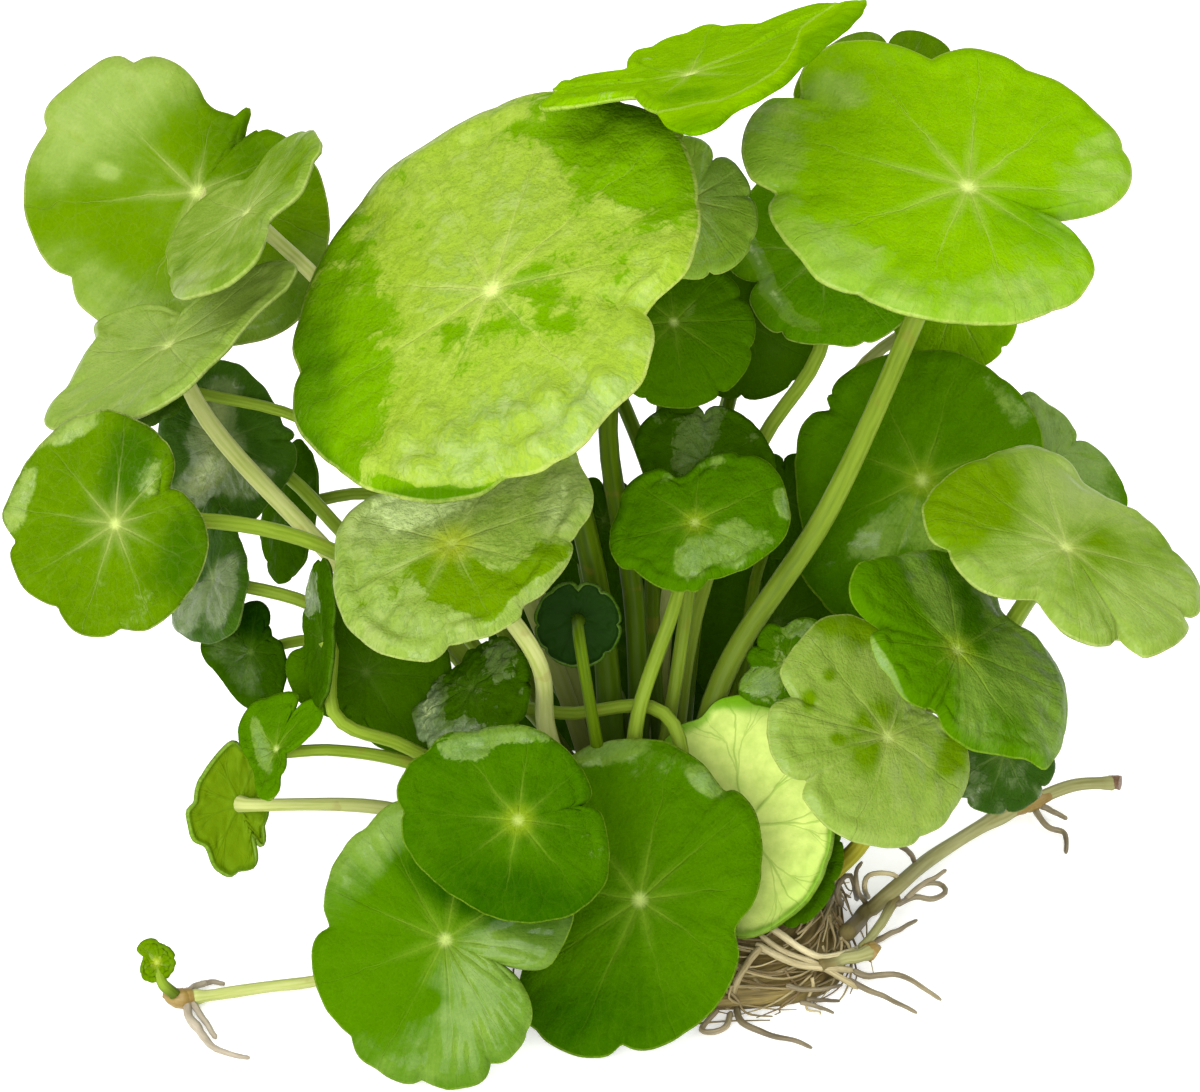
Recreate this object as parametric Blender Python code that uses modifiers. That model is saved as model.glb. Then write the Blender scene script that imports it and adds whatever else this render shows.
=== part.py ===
"""Whorled pennywort: a clump of round, scalloped leaves on long stalks, over a root mat with two runners.

Frame: X to the right and Y away from someone who looks at the clump from the front, Z up, and the ground at Z = 0.
Lengths are in millimetres up to the last step, where MM makes them metres.

Leaves are placed as they are seen from a camera in front of the clump, which looks down at VIEW_PITCH. A place is
at(x, y, away): a point of a 1200 by 1092 picture, and how far it lies behind the middle plane of the view in mm.
"""

import math
from dataclasses import dataclass

import bmesh
import bpy
from mathutils import Matrix, Vector

MM = 0.001

# The view that the leaves are placed in
VIEW_PITCH = math.radians(35)
VIEW_DISTANCE = 450.0
VIEW_CENTRE = Vector((0.0, 0.0, 30.0))
PICTURE_MIDDLE = (600.0, 546.0)
PIXELS_PER_MM = 10.7
RIGHT = Vector((1.0, 0.0, 0.0))
UP = Vector((0.0, math.sin(VIEW_PITCH), math.cos(VIEW_PITCH)))
AWAY = Vector((0.0, math.cos(VIEW_PITCH), -math.sin(VIEW_PITCH)))

# Leaves
BLADE_THICKNESS = 0.5
STALK_BASE_RADIUS = 0.45
STALK_RADIUS_PER_BLADE = 0.033
STALK_POINTS = 5
STALK_POKE = 0.12
NOTCH_WIDTH = 0.16
BLADE_SEGMENTS = 12
MEDIUM_BLADE_RADIUS = 11.0
MEDIUM_BLADE_SEGMENTS = 16
SMALL_BLADE_RADIUS = 7.5

# Root mat under the leaves
MAT_CENTRE = Vector((5.0, -15.0))
MAT_REACH = 17.0
MAT_BULGE = 5.6
MAT_BULGE_TOWARD = math.radians(-40)
MAT_BULGE_WIDTH = 0.55
MAT_HEIGHT = 8.0
FOOT_GAP = 0.45
FOOT_RING = 13.0
FOOT_SLACK = 0.8

# Moves the finished clump so that the middle of its outline stands over the origin
CLUMP_PLACE = Vector((1.2, 0.9, 0.0))

LEAF_GREEN = (0.17, 0.36, 0.015)
LEAF_DARK = (0.05, 0.16, 0.01)
LEAF_PALE = (0.33, 0.42, 0.10)
STALK_GREEN = (0.36, 0.42, 0.10)
ROOT_BROWN = (0.17, 0.13, 0.06)


def at(x, y, away):
    """A place in the picture, with its depth behind the middle plane, as mm across, up and away."""
    return ((x - PICTURE_MIDDLE[0]) / PIXELS_PER_MM, (PICTURE_MIDDLE[1] - y) / PIXELS_PER_MM, away)


def seen(across, up, away):
    """World place of a point seen that far across and up the middle plane, and that far behind it."""
    spread = 1 + away / VIEW_DISTANCE
    return VIEW_CENTRE + RIGHT * (across * spread) + UP * (up * spread) + AWAY * away


def lying(x, y, height):
    """The world place seen at a point of the picture that lies that high over the ground."""
    across, up, _ = at(x, y, 0.0)
    eye = VIEW_CENTRE - AWAY * VIEW_DISTANCE
    ray = RIGHT * across + UP * up + AWAY * VIEW_DISTANCE
    return eye + ray * ((height - eye.z) / ray.z)


@dataclass
class Leaf:
    """One leaf: a round blade held by a stalk at its hub.

    hub: where the stalk meets the blade, as at() gives it.
    radius: half the blade's width.
    facing: how far the blade's top normal leans right and up in the view.
    notch_at: angle in the view that the notch of the margin points to, in degrees.
    notch: depth of the notch as a share of the radius.
    cup: height of the margin over the hub as a share of the radius, below zero where the margin hangs.
    fold: how far the blade is rolled across its notch line, in degrees over one radius.
    side: -1 where the underside is what the front view shows.
    via: places the stalk passes on its way down from the hub.
    foot: where the stalk stands on the root mat, x and y, or empty to let it find room.
    margin: how far the margin is seen from the hub at each hour of a clock, in mm, or empty for a plain round.
    rooted: world place where a stalk starts that doesn't stand on the root mat.
    """

    name: str
    hub: tuple
    radius: float
    facing: tuple
    notch_at: float = 90.0
    notch: float = 0.2
    cup: float = -0.12
    fold: float = 0.0
    side: int = 1
    offset: float = 0.08
    via: tuple = ()
    foot: tuple = ()
    margin: tuple = ()
    rooted: tuple = ()
    colour: tuple = LEAF_GREEN


LEAVES = [
    Leaf("leaf_crown_large", at(492, 290, -20), 20.6, (-0.46, 0.54), notch_at=-6, notch=0.06, cup=-0.10,
         via=(at(560, 440, -6), at(602, 620, -2)),
         margin=(16.6, 19.6, 21.5, 16.6, 16.6, 16.9, 19.2, 20.0, 20.8, 17.4, 14.6, 14.4)),
    Leaf("leaf_crown_right", at(968, 187, -8), 17.6, (0.14, 0.66), notch_at=-19, notch=0.52, cup=-0.06,
         via=(at(915, 318, -3), at(830, 506, -4), at(715, 697, -1)),
         margin=(13.4, 13.0, 14.4, 15.5, 14.2, 14.8, 13.2, 14.2, 17.0, 20.4, 19.5, 15.2)),
    Leaf("leaf_crown_top", at(690, 74, -17), 15.2, (-0.24, 0.93), notch_at=16, notch=0.1, cup=0.03, offset=-0.12,
         via=(at(677, 125, -16), at(648, 240, -13), at(608, 425, -3), at(634, 600, -1))),
    Leaf("leaf_crown_back", at(890, 106, 13), 9.5, (0.0, 0.35), via=(at(730, 395, 17), at(702, 560, 13))),
    Leaf("leaf_crown_mid", at(690, 200, -6), 7.0, (0.3, 0.3), notch_at=60,
         via=(at(694, 250, 4), at(690, 395, 7), at(668, 600, 9)), colour=LEAF_PALE),
    Leaf("leaf_crown_shade", at(828, 250, 5), 9.6, (-0.35, 0.25), notch_at=200, cup=-0.1,
         via=(at(820, 350, 6), at(765, 435, 5), at(694, 620, 3)),
         margin=(8.8, 8.8, 9.0, 9.6, 9.8, 9.7, 8.8, 9.2, 8.8, 9.6, 8.9, 8.8), colour=LEAF_DARK),
    Leaf("leaf_neck_front", at(674, 322, -3), 7.4, (0.15, 0.25), notch_at=120, cup=-0.15,
         via=(at(664, 400, 2), at(652, 600, 6)), colour=LEAF_DARK),
    Leaf("leaf_neck_back", at(745, 322, 11), 7.0, (0.0, 0.3), notch_at=80,
         via=(at(716, 470, 9), at(692, 640, 8)), colour=LEAF_DARK),
    Leaf("leaf_backlit", at(955, 302, 16), 6.2, (0.1, 0.2),
         via=(at(868, 360, 18), at(800, 560, 21), at(770, 690, 18))),
    Leaf("leaf_left_high", at(197, 192, 13), 14.2, (-0.15, 0.15), notch_at=49, notch=0.22,
         via=(at(325, 262, 14), at(440, 400, 11), at(520, 560, 8)),
         margin=(9.8, 9.8, 9.8, 12.3, 14.2, 15.6, 14.7, 14.2, 14.3, 16.2, 16.3, 14.0)),
    Leaf("leaf_left_narrow", at(246, 212, -8), 9.6, (-0.66, 0.66), notch_at=40, notch=0.1, cup=0.0,
         via=(at(322, 284, 1), at(450, 450, 1)),
         margin=(3.1, 7.8, 7.4, 3.6, 2.6, 3.7, 5.6, 9.4, 8.6, 5.1, 4.0, 3.0)),
    Leaf("leaf_left_long", at(168, 345, -5), 13.4, (-0.50, 0.72), notch_at=25, notch=0.05, cup=0.0,
         via=(at(195, 400, -1), at(335, 560, -1), at(440, 680, -3)),
         margin=(6.8, 6.1, 13.8, 6.2, 4.0, 4.3, 5.0, 8.9, 13.0, 6.6, 7.0, 6.5)),
    Leaf("leaf_left_round", at(115, 524, -17), 9.4, (-0.2, 0.05), notch_at=35, notch=0.28,
         via=(at(195, 520, -12), at(320, 545, -8), at(430, 620, -4)),
         margin=(9.9, 8.3, 7.6, 7.7, 8.9, 10.6, 10.6, 10.5, 10.2, 10.6, 9.8, 10.9)),
    Leaf("leaf_left_shade", at(225, 440, 9), 8.0, (-0.3, 0.1), notch_at=0,
         via=(at(280, 470, 11), at(340, 530, 9)), colour=LEAF_DARK),
    Leaf("leaf_left_hang", at(212, 580, 0), 6.8, (-0.75, 0.2),
         via=(at(300, 600, 1), at(430, 685, 3)), colour=LEAF_DARK),
    Leaf("leaf_left_low", at(250, 652, 2), 5.0, (-0.3, 0.1), notch_at=60,
         via=(at(310, 640, 5), at(430, 712, 6)), colour=LEAF_DARK),
    Leaf("leaf_left_edge", at(282, 505, 19), 7.0, (-0.9, 0.1),
         via=(at(378, 495, 18), at(470, 640, 15)), colour=LEAF_DARK),
    Leaf("leaf_left_broad", at(366, 672, -9), 8.2, (0.1, 0.0), notch_at=240, foot=(-7.4, -13.5), colour=LEAF_DARK),
    Leaf("leaf_left_sliver", at(321, 640, -16.0), 6.5, (-0.96, 0.05), cup=0.0,
         margin=(7.8, 2.4, 1.4, 1.2, 1.4, 2.4, 6.2, 2.4, 1.5, 1.3, 1.5, 2.6),
         via=(at(335, 715, -16), at(400, 744, -13)), colour=LEAF_DARK),
    Leaf("leaf_trail_under", at(238, 803, -4), 6.8, (-0.45, 0.1), side=-1, via=(at(395, 810, -4),),
         foot=(-8, -16.5), margin=(5.5, 4.2, 2.8, 2.2, 3.0, 5.0, 6.8, 6.6, 5.2, 4.3, 4.4, 5.2), colour=LEAF_DARK),
    Leaf("leaf_trail_wet", at(275, 748, -14), 5.4, (-0.6, 0.4), notch_at=60, fold=40,
         via=(at(330, 750, -12), at(425, 768, -10)), foot=(-6.5, -19.5)),
    Leaf("leaf_left_veiled", at(150, 380, 5), 4.5, (-0.3, 0.5), notch_at=60,
         via=(at(197, 393, 7), at(300, 418, 6), at(430, 530, 3)), colour=LEAF_DARK),
    Leaf("leaf_mid_left", at(452, 543, -22), 11.8, (-0.20, 0.58), notch_at=5, notch=0.08, cup=-0.12,
         via=(at(535, 655, -18), at(548, 735, -8)), foot=(-1.0, -18.8),
         margin=(7.9, 10.3, 14.0, 12.1, 10.0, 10.3, 10.8, 11.8, 11.6, 11.0, 9.2, 7.9)),
    Leaf("leaf_mid_folded", at(470, 687, -13.5), 6.1, (-0.5, 0.5), notch_at=45, fold=-40,
         via=(at(560, 713, -5), at(668, 717, -7), at(684, 790, -9)), foot=(6.5, -24), colour=LEAF_DARK),
    Leaf("leaf_mid_back", at(705, 460, -5), 6.3, (0.0, 0.5), via=(at(682, 640, -2),), colour=LEAF_DARK),
    Leaf("leaf_mid_front", at(695, 522, -14), 7.8, (0.0, 0.45), notch_at=120, notch=0.15,
         via=(at(676, 600, -9), at(636, 725, -8)),
         margin=(5.3, 6.8, 8.9, 8.6, 7.5, 5.7, 6.6, 6.7, 7.8, 7.0, 7.2, 5.7)),
    Leaf("leaf_mid_small", at(578, 620, -9), 3.9, (0.0, 0.1), side=-1, colour=LEAF_DARK),
    Leaf("leaf_mid_shade", at(604, 520, 2), 4.4, (0.3, 0.1), colour=LEAF_DARK),
    Leaf("leaf_heart_dark", at(778, 622, 14), 7.8, (0.1, 0.2), via=(at(752, 705, 12),), colour=LEAF_DARK),
    Leaf("leaf_heart_back", at(785, 500, 12), 5.2, (0.1, 0.2), via=(at(758, 570, 10), at(738, 690, 8)),
         colour=LEAF_DARK),
    Leaf("leaf_right_broad", at(920, 490, 4), 12.6, (0.05, 0.1), notch_at=180, notch=0.06,
         via=(at(850, 620, 7), at(770, 720, 5)),
         margin=(13.1, 13.5, 12.3, 11.9, 12.3, 13.3, 13.7, 13.7, 13.3, 11.4, 12.2, 13.3), colour=LEAF_DARK),
    Leaf("leaf_right_back", at(1050, 465, 14), 8.0, (0.4, 0.3), notch_at=40, via=(at(950, 600, 13),)),
    Leaf("leaf_right_high", at(1066, 547, -24), 13.4, (0.37, 0.72), notch_at=-60, notch=0.06,
         via=(at(1028, 599, -16), at(1002, 638, -9), at(955, 690, 0), at(860, 738, 5)),
         margin=(7.5, 6.6, 6.8, 10.4, 13.6, 12.0, 8.4, 5.6, 8.6, 11.3, 13.1, 9.5)),
    Leaf("leaf_right_mid", at(960, 650, -24), 12.2, (0.50, 0.55), notch_at=-120, notch=0.06,
         via=(at(950, 665, -6), at(890, 735, -3)),
         margin=(7.5, 6.3, 5.8, 8.5, 11.5, 13.7, 8.4, 6.2, 7.0, 8.3, 11.7, 10.0)),
    Leaf("leaf_right_front", at(888, 737, -14), 11.0, (0.42, 0.30), notch_at=213, notch=0.1,
         via=(at(862, 842, -5.5),), foot=(19, -23.2),
         margin=(11.4, 8.4, 6.6, 7.2, 8.6, 9.9, 10.5, 10.3, 9.9, 11.4, 11.5, 12.2)),
    Leaf("leaf_right_low", at(1005, 752, -4), 5.6, (0.3, 0.1), notch_at=0, via=(at(930, 785, 0),),
         colour=LEAF_DARK),
    Leaf("leaf_right_small", at(787, 662, -7), 4.8, (-0.1, 0.3), notch_at=150, foot=(13.2, -18.0)),
    Leaf("leaf_pale_under", at(745, 826, -6), 10.4, (0.35, -0.25), side=-1, notch_at=180, notch=0.3,
         margin=(12.2, 11.0, 9.3, 8.1, 8.4, 9.3, 10.3, 8.4, 6.5, 6.1, 8.9, 11.2), colour=LEAF_PALE),
    Leaf("leaf_under_right", at(790, 860, -7.0), 5.5, (-0.35, 0.25), notch_at=150, cup=0.0, foot=(14.2, -20.2),
         margin=(3.0, 4.5, 5.2, 4.9, 4.9, 5.6, 6.2, 4.0, 3.0, 3.0, 3.0, 3.0), colour=LEAF_DARK),
    Leaf("leaf_front_mid", at(640, 900, -15), 13.6, (-0.28, 0.2), notch_at=150, notch=0.0,
         margin=(14.9, 13.9, 12.8, 11.5, 10.8, 11.8, 14.1, 15.4, 13.1, 10.7, 11.2, 14.0)),
    Leaf("leaf_front_small", at(518, 820, -27), 9.6, (0.0, 0.2), notch_at=14, notch=0.25,
         via=(at(510, 834, -6),), foot=(0.5, -21.5),
         margin=(8.9, 8.0, 7.6, 8.2, 9.4, 9.4, 9.6, 9.7, 10.1, 11.0, 11.0, 9.6)),
    Leaf("leaf_front_left", at(445, 940, -20), 12.6, (-0.1, 0.1), notch_at=-25, notch=0.45,
         via=(at(458, 925, -8),), foot=(-4, -22),
         margin=(10.6, 9.6, 10.6, 11.2, 10.2, 12.1, 14.1, 13.9, 12.9, 12.3, 12.5, 12.8)),
    Leaf("leaf_rear_high", at(560, 230, 20), 9.6, (0.1, 0.75), via=(at(662, 520, 25),)),
    Leaf("leaf_rear_left", at(420, 380, 28), 8.6, (-0.3, 0.75), notch_at=120, via=(at(480, 560, 26),)),
    Leaf("leaf_rear_low", at(600, 640, 22), 8.8, (-0.1, 0.25), colour=LEAF_DARK),
    Leaf("leaf_rear_right", at(905, 470, 28), 8.6, (0.3, 0.75), notch_at=60,
         via=(at(850, 600, 25), at(800, 700, 18))),
    Leaf("leaf_runner_tip", at(156, 962, -9.2), 2.0, (-0.2, 0.3), notch=0.1, cup=-0.3, rooted=lying(168, 990, 1.9)),
]


@dataclass
class Strand:
    """A runner or a root: a tapering round strand through places of the world, in mm."""

    name: str
    places: tuple
    start_radius: float
    end_radius: float
    colour: tuple = ROOT_BROWN


STRANDS = [
    Strand("stolon_right", (lying(842, 961, 3.7), lying(868, 940, 3.7), lying(893, 903, 3.3), lying(933, 860, 2.4),
                            lying(985, 824, 1.8), lying(1033, 800, 1.8), lying(1075, 786, 2.6),
                            lying(1118, 783, 3.6)), 0.95, 0.75, STALK_GREEN),
    Strand("runner_left", (lying(455, 928, 1.6), lying(385, 960, 1.0), lying(322, 979, 0.8), lying(267, 987, 0.8),
                           lying(190, 997, 1.0)), 0.5, 0.6, STALK_GREEN),
    Strand("root_right_high", (lying(886, 940, 1.0), lying(902, 930, 0.7), lying(917, 920, 0.5)), 0.36, 0.24),
    Strand("root_right_long", (lying(866, 977, 0.6), lying(882, 976, 0.55), lying(900, 975, 0.55),
                               lying(925, 989, 0.5), lying(941, 1000, 0.45)), 0.36, 0.24),
    Strand("root_right_low", (lying(862, 990, 0.55), lying(878, 994, 0.5), lying(896, 1002, 0.5),
                              lying(917, 1013, 0.45)), 0.36, 0.24),
    Strand("root_front_long", (lying(742, 1028, 0.6), lying(767, 1034, 0.55), lying(796, 1041, 0.5),
                               lying(812, 1048, 0.45)), 0.4, 0.26),
    Strand("root_front_curl", (lying(731, 1028, 0.6), lying(719, 1034, 0.55), lying(706, 1036, 0.5),
                               lying(699, 1030, 0.45)), 0.36, 0.26),
    Strand("root_stolon_drop", (lying(1041, 819, 0.6), lying(1050, 828, 0.5), lying(1065, 834, 0.45),
                                lying(1066, 853, 0.4)), 0.34, 0.22),
    Strand("root_stolon_side", (lying(1052, 809, 0.9), lying(1060, 814, 0.7), lying(1067, 819, 0.6)), 0.3, 0.22),
    Strand("root_runner_tip", (lying(190, 1014, 0.6), lying(200, 1030, 0.5), lying(213, 1047, 0.45),
                               lying(230, 1054, 0.4), lying(250, 1058, 0.35)), 0.34, 0.22),
    Strand("root_runner_side", (lying(203, 981, 0.5), lying(213, 978, 0.45), lying(225, 977, 0.4)), 0.28, 0.2),
]


def clear_scene():
    for item in list(bpy.data.objects):
        bpy.data.objects.remove(item)


def new_collection(name):
    made = bpy.data.collections.new(name)
    bpy.context.scene.collection.children.link(made)
    return made


def plain_material(name, colour, roughness):
    material = bpy.data.materials.new(name)
    material.use_nodes = True
    shader = material.node_tree.nodes["Principled BSDF"]
    shader.inputs["Base Color"].default_value = (*colour, 1.0)
    shader.inputs["Roughness"].default_value = roughness
    shader.inputs["Metallic"].default_value = 0.0
    return material


def blade_frame(leaf):
    """Hub, the axis toward the notch, the axis across it, and the top normal of a blade."""
    hub = seen(*leaf.hub)
    right, up = leaf.facing
    toward = math.sqrt(max(0.0, 1 - right * right - up * up)) * leaf.side
    normal = (RIGHT * right + UP * up - AWAY * toward).normalized()
    turn = math.radians(leaf.notch_at)
    wanted = RIGHT * math.cos(turn) + UP * math.sin(turn)
    lean = toward if abs(toward) > 0.3 else math.copysign(0.3, toward)
    first = wanted + AWAY * (wanted.dot(normal) / lean)
    first = (first - normal * first.dot(normal)).normalized()
    return hub, first, normal.cross(first), normal


def margin_knots(leaf):
    """Local angle and radius of the margin under each clock hour at which the front view shows it."""
    hub, first, second, normal = blade_frame(leaf)
    eye = VIEW_CENTRE - AWAY * VIEW_DISTANCE
    lifted = hub + normal * (leaf.cup * leaf.radius)
    knots = []
    for hour, reach in enumerate(leaf.margin):
        turn = math.radians(90 - 30 * hour)
        across = leaf.hub[0] + reach * math.cos(turn)
        up = leaf.hub[1] + reach * math.sin(turn)
        ray = RIGHT * across + UP * up + AWAY * VIEW_DISTANCE
        spoke = eye + ray * ((lifted - eye).dot(normal) / ray.dot(normal)) - lifted
        knots.append((math.atan2(spoke.dot(second), spoke.dot(first)) % math.tau, spoke.length))
    return sorted(knots)


def margin_radius(leaf, knots, theta):
    """Radius of the blade at a local angle from the notch."""
    if knots:
        theta %= math.tau
        radius = knots[0][1]
        for (start, before), (end, after) in zip(knots, knots[1:] + [(knots[0][0] + math.tau, knots[0][1])]):
            here = theta if theta >= knots[0][0] else theta + math.tau
            if start <= here <= end:
                share = (here - start) / (end - start)
                share = (share * share * (3 - 2 * share) + share) * 0.5
                radius = before + (after - before) * share
                break
    else:
        radius = leaf.radius * (1 - leaf.offset * math.cos(theta))
    off = (theta + math.pi) % math.tau - math.pi
    return radius * (1 - leaf.notch * math.exp(-((off / NOTCH_WIDTH) ** 2)))


def blade_point(leaf, knots, share, theta):
    """Local place of a point of the blade, from the hub at share 0 to the margin at share 1."""
    reach = margin_radius(leaf, knots, theta) * share
    x = reach * math.cos(theta)
    y = reach * math.sin(theta)
    z = leaf.cup * leaf.radius * share * share
    if leaf.fold:
        curl = math.radians(leaf.fold) / leaf.radius
        bend = curl * y
        y = math.sin(bend) / curl - z * math.sin(bend)
        z = z * math.cos(bend) + (1 - math.cos(bend)) / curl
    return Vector((x, y, z))


def mat_reach(theta):
    """How far the root mat spreads in a direction: a lumpy round that bulges to the front right."""
    off = (theta - MAT_BULGE_TOWARD + math.pi) % math.tau - math.pi
    lumps = 0.7 * math.sin(3 * theta + 0.6) + 0.5 * math.sin(7 * theta)
    return MAT_REACH + MAT_BULGE * math.exp(-((off / MAT_BULGE_WIDTH) ** 2)) + lumps


def mat_height(x, y):
    off = Vector((x, y)) - MAT_CENTRE
    share = off.length / mat_reach(math.atan2(off.y, off.x))
    return MAT_HEIGHT * math.sqrt(max(0.0, 1 - share * share))


def stalk_radius(leaf):
    return STALK_BASE_RADIUS + STALK_RADIUS_PER_BLADE * leaf.radius


def settle_feet(leaves):
    """Feet stand under the lowest place each stalk passes, drawn inwards, and are eased apart until none crowd."""
    spots = {}
    for leaf in leaves:
        if leaf.foot:
            spots[leaf.name] = Vector(leaf.foot)
            continue
        last = seen(*leaf.via[-1]) if leaf.via else blade_frame(leaf)[0]
        out = Vector((last.x, last.y)) - MAT_CENTRE
        spots[leaf.name] = MAT_CENTRE + out.normalized() * (FOOT_RING * out.length / (out.length + 16.0))
    for _ in range(200):
        for index, one in enumerate(leaves):
            for other in leaves[index + 1:]:
                gap = spots[other.name] - spots[one.name]
                wanted = 1.25 * (stalk_radius(one) + stalk_radius(other)) + FOOT_SLACK
                if gap.length < wanted:
                    push = gap.normalized() * ((wanted - gap.length) * 0.25)
                    spots[one.name] -= push
                    spots[other.name] += push
    return spots


def stalk_path(leaf, spot):
    """Middle line of a stalk, from its foot up through its places to just over the hub."""
    hub, _, _, normal = blade_frame(leaf)
    if leaf.rooted:
        foot = Vector(leaf.rooted)
    else:
        foot = Vector((spot.x, spot.y, mat_height(spot.x, spot.y) + FOOT_GAP + 0.6 * stalk_radius(leaf)))
    top = hub + normal * (BLADE_THICKNESS * 0.5 + STALK_POKE)
    places = [foot] + [seen(*place) for place in reversed(leaf.via)]
    if not leaf.via:
        places.append(top - normal * (0.2 * (top - foot).length))
    places.append(top)
    spans = [(after - before).length for before, after in zip(places, places[1:])]
    start = ((places[1] - foot).normalized() + Vector((0.0, 0.0, 0.6))).normalized()
    ways = [start]
    for k in range(1, len(places) - 1):
        before = (places[k] - places[k - 1]) / spans[k - 1]
        after = (places[k + 1] - places[k]) / spans[k]
        ways.append((before * spans[k] + after * spans[k - 1]).normalized())
    ways.append(normal * (0.6 if leaf.via else 1.0))
    fine = []
    for k, span in enumerate(spans):
        for step in range(12):
            fine.append(hermite(places[k], places[k + 1], ways[k] * span, ways[k + 1] * span, step / 12))
    fine.append(places[-1])
    return even_points(fine, STALK_POINTS + (1 if len(leaf.via) > 1 else 0))


def hermite(start, end, leaving, arriving, t):
    return (start * (2 * t ** 3 - 3 * t ** 2 + 1) + leaving * (t ** 3 - 2 * t ** 2 + t)
            + end * (3 * t ** 2 - 2 * t ** 3) + arriving * (t ** 3 - t ** 2))


def even_points(line, count):
    """Points at even distances along a finely drawn line."""
    run = [0.0]
    for before, after in zip(line, line[1:]):
        run.append(run[-1] + (after - before).length)
    points = [line[0]]
    for index in range(1, count):
        wanted = run[-1] * index / (count - 1)
        k = next((j for j, length in enumerate(run) if length >= wanted - 1e-9), len(run) - 1)
        share = (wanted - run[k - 1]) / max(run[k] - run[k - 1], 1e-9)
        points.append(line[k - 1].lerp(line[k], min(share, 1.0)))
    return points


def tube(name, points, start_radius, end_radius, collection):
    """A tapering round tube along points, as one closed mesh."""
    curve = bpy.data.curves.new(name + "_line", "CURVE")
    curve.dimensions = "3D"
    curve.bevel_depth = MM
    curve.bevel_resolution = 1
    curve.use_fill_caps = True
    spline = curve.splines.new("POLY")
    spline.points.add(len(points) - 1)
    for index, (knot, place) in enumerate(zip(spline.points, points)):
        knot.co = (*(place * MM), 1.0)
        knot.radius = start_radius + (end_radius - start_radius) * index / (len(points) - 1)
    guide = bpy.data.objects.new(name + "_line", curve)
    collection.objects.link(guide)
    bpy.context.view_layer.update()
    evaluated = guide.evaluated_get(bpy.context.evaluated_depsgraph_get())
    mesh = bpy.data.meshes.new_from_object(evaluated)
    mesh.name = name
    shape = bmesh.new()
    shape.from_mesh(mesh)
    bmesh.ops.remove_doubles(shape, verts=shape.verts, dist=0.00001)
    shape.to_mesh(mesh)
    shape.free()
    mesh.shade_smooth()
    made = bpy.data.objects.new(name, mesh)
    made.matrix_world = guide.matrix_world.copy()
    collection.objects.link(made)
    bpy.data.objects.remove(guide)
    bpy.data.curves.remove(curve)
    return made


def round_sheet(leaf):
    """The open surface of a blade: a fan of triangles round the hub, split once where the blade is large or rolled."""
    knots = margin_knots(leaf) if leaf.margin else []
    split = leaf.radius >= MEDIUM_BLADE_RADIUS or leaf.fold != 0
    segments = BLADE_SEGMENTS
    if leaf.radius >= SMALL_BLADE_RADIUS and not split:
        segments = MEDIUM_BLADE_SEGMENTS
    shape = bmesh.new()
    bmesh.ops.create_circle(shape, cap_ends=True, cap_tris=True, segments=segments, radius=1.0)
    if split:
        bmesh.ops.subdivide_edges(shape, edges=shape.edges[:], cuts=1, use_grid_fill=True)
    for vertex in shape.verts:
        flat = vertex.co.length
        share = 0.0 if flat < 0.1 else 1.0 if flat > 0.9 else 0.5
        theta = math.atan2(vertex.co.y, vertex.co.x)
        vertex.co = blade_point(leaf, knots, share, theta) * MM
    bmesh.ops.recalc_face_normals(shape, faces=shape.faces[:])
    if sum(face.normal.z for face in shape.faces) < 0:
        bmesh.ops.reverse_faces(shape, faces=shape.faces[:])
    mesh = bpy.data.meshes.new(leaf.name)
    shape.to_mesh(mesh)
    shape.free()
    mesh.shade_smooth()
    return mesh


def build_leaf(leaf, spot, parts, cutters, root, materials):
    """One leaf: its blade given thickness, with its stalk joined on."""
    hub, first, second, normal = blade_frame(leaf)
    blade = bpy.data.objects.new(leaf.name, round_sheet(leaf))
    parts.objects.link(blade)
    blade.parent = root
    turned = Matrix((first, second, normal)).transposed().to_4x4()
    blade.matrix_world = Matrix.Translation(hub * MM) @ turned
    blade.data.materials.append(materials[leaf.colour])
    shell = blade.modifiers.new("Thickness", "SOLIDIFY")
    shell.thickness = BLADE_THICKNESS * MM
    shell.offset = 0.0
    radius = stalk_radius(leaf)
    stalk = tube(leaf.name + "_stalk", stalk_path(leaf, spot), radius * 1.1, radius * 0.9, cutters)
    stalk.parent = root
    stalk.hide_render = True
    stalk.display_type = "WIRE"
    joined = blade.modifiers.new("Stalk", "BOOLEAN")
    joined.operation = "UNION"
    joined.solver = "EXACT"
    joined.object = stalk
    return blade


def build_mat(parts, root, material):
    """The root mat: the upper half of a ball, spread to its outline, with a flat underside on the ground."""
    shape = bmesh.new()
    bmesh.ops.create_uvsphere(shape, u_segments=24, v_segments=10, radius=1.0)
    everything = shape.verts[:] + shape.edges[:] + shape.faces[:]
    bmesh.ops.bisect_plane(shape, geom=everything, plane_co=(0, 0, 0), plane_no=(0, 0, 1), clear_inner=True)
    rim = [edge for edge in shape.edges if edge.is_boundary]
    bmesh.ops.contextual_create(shape, geom=rim)
    for vertex in shape.verts:
        theta = math.atan2(vertex.co.y, vertex.co.x)
        reach = mat_reach(theta)
        vertex.co = Vector((MAT_CENTRE.x + vertex.co.x * reach, MAT_CENTRE.y + vertex.co.y * reach,
                            max(vertex.co.z, 0.0) * MAT_HEIGHT)) * MM
    bmesh.ops.recalc_face_normals(shape, faces=shape.faces[:])
    mesh = bpy.data.meshes.new("root_mat")
    shape.to_mesh(mesh)
    shape.free()
    mesh.shade_smooth()
    mesh.set_sharp_from_angle(angle=math.radians(50))
    mat = bpy.data.objects.new("root_mat", mesh)
    parts.objects.link(mat)
    mat.parent = root
    mat.data.materials.append(material)


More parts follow.
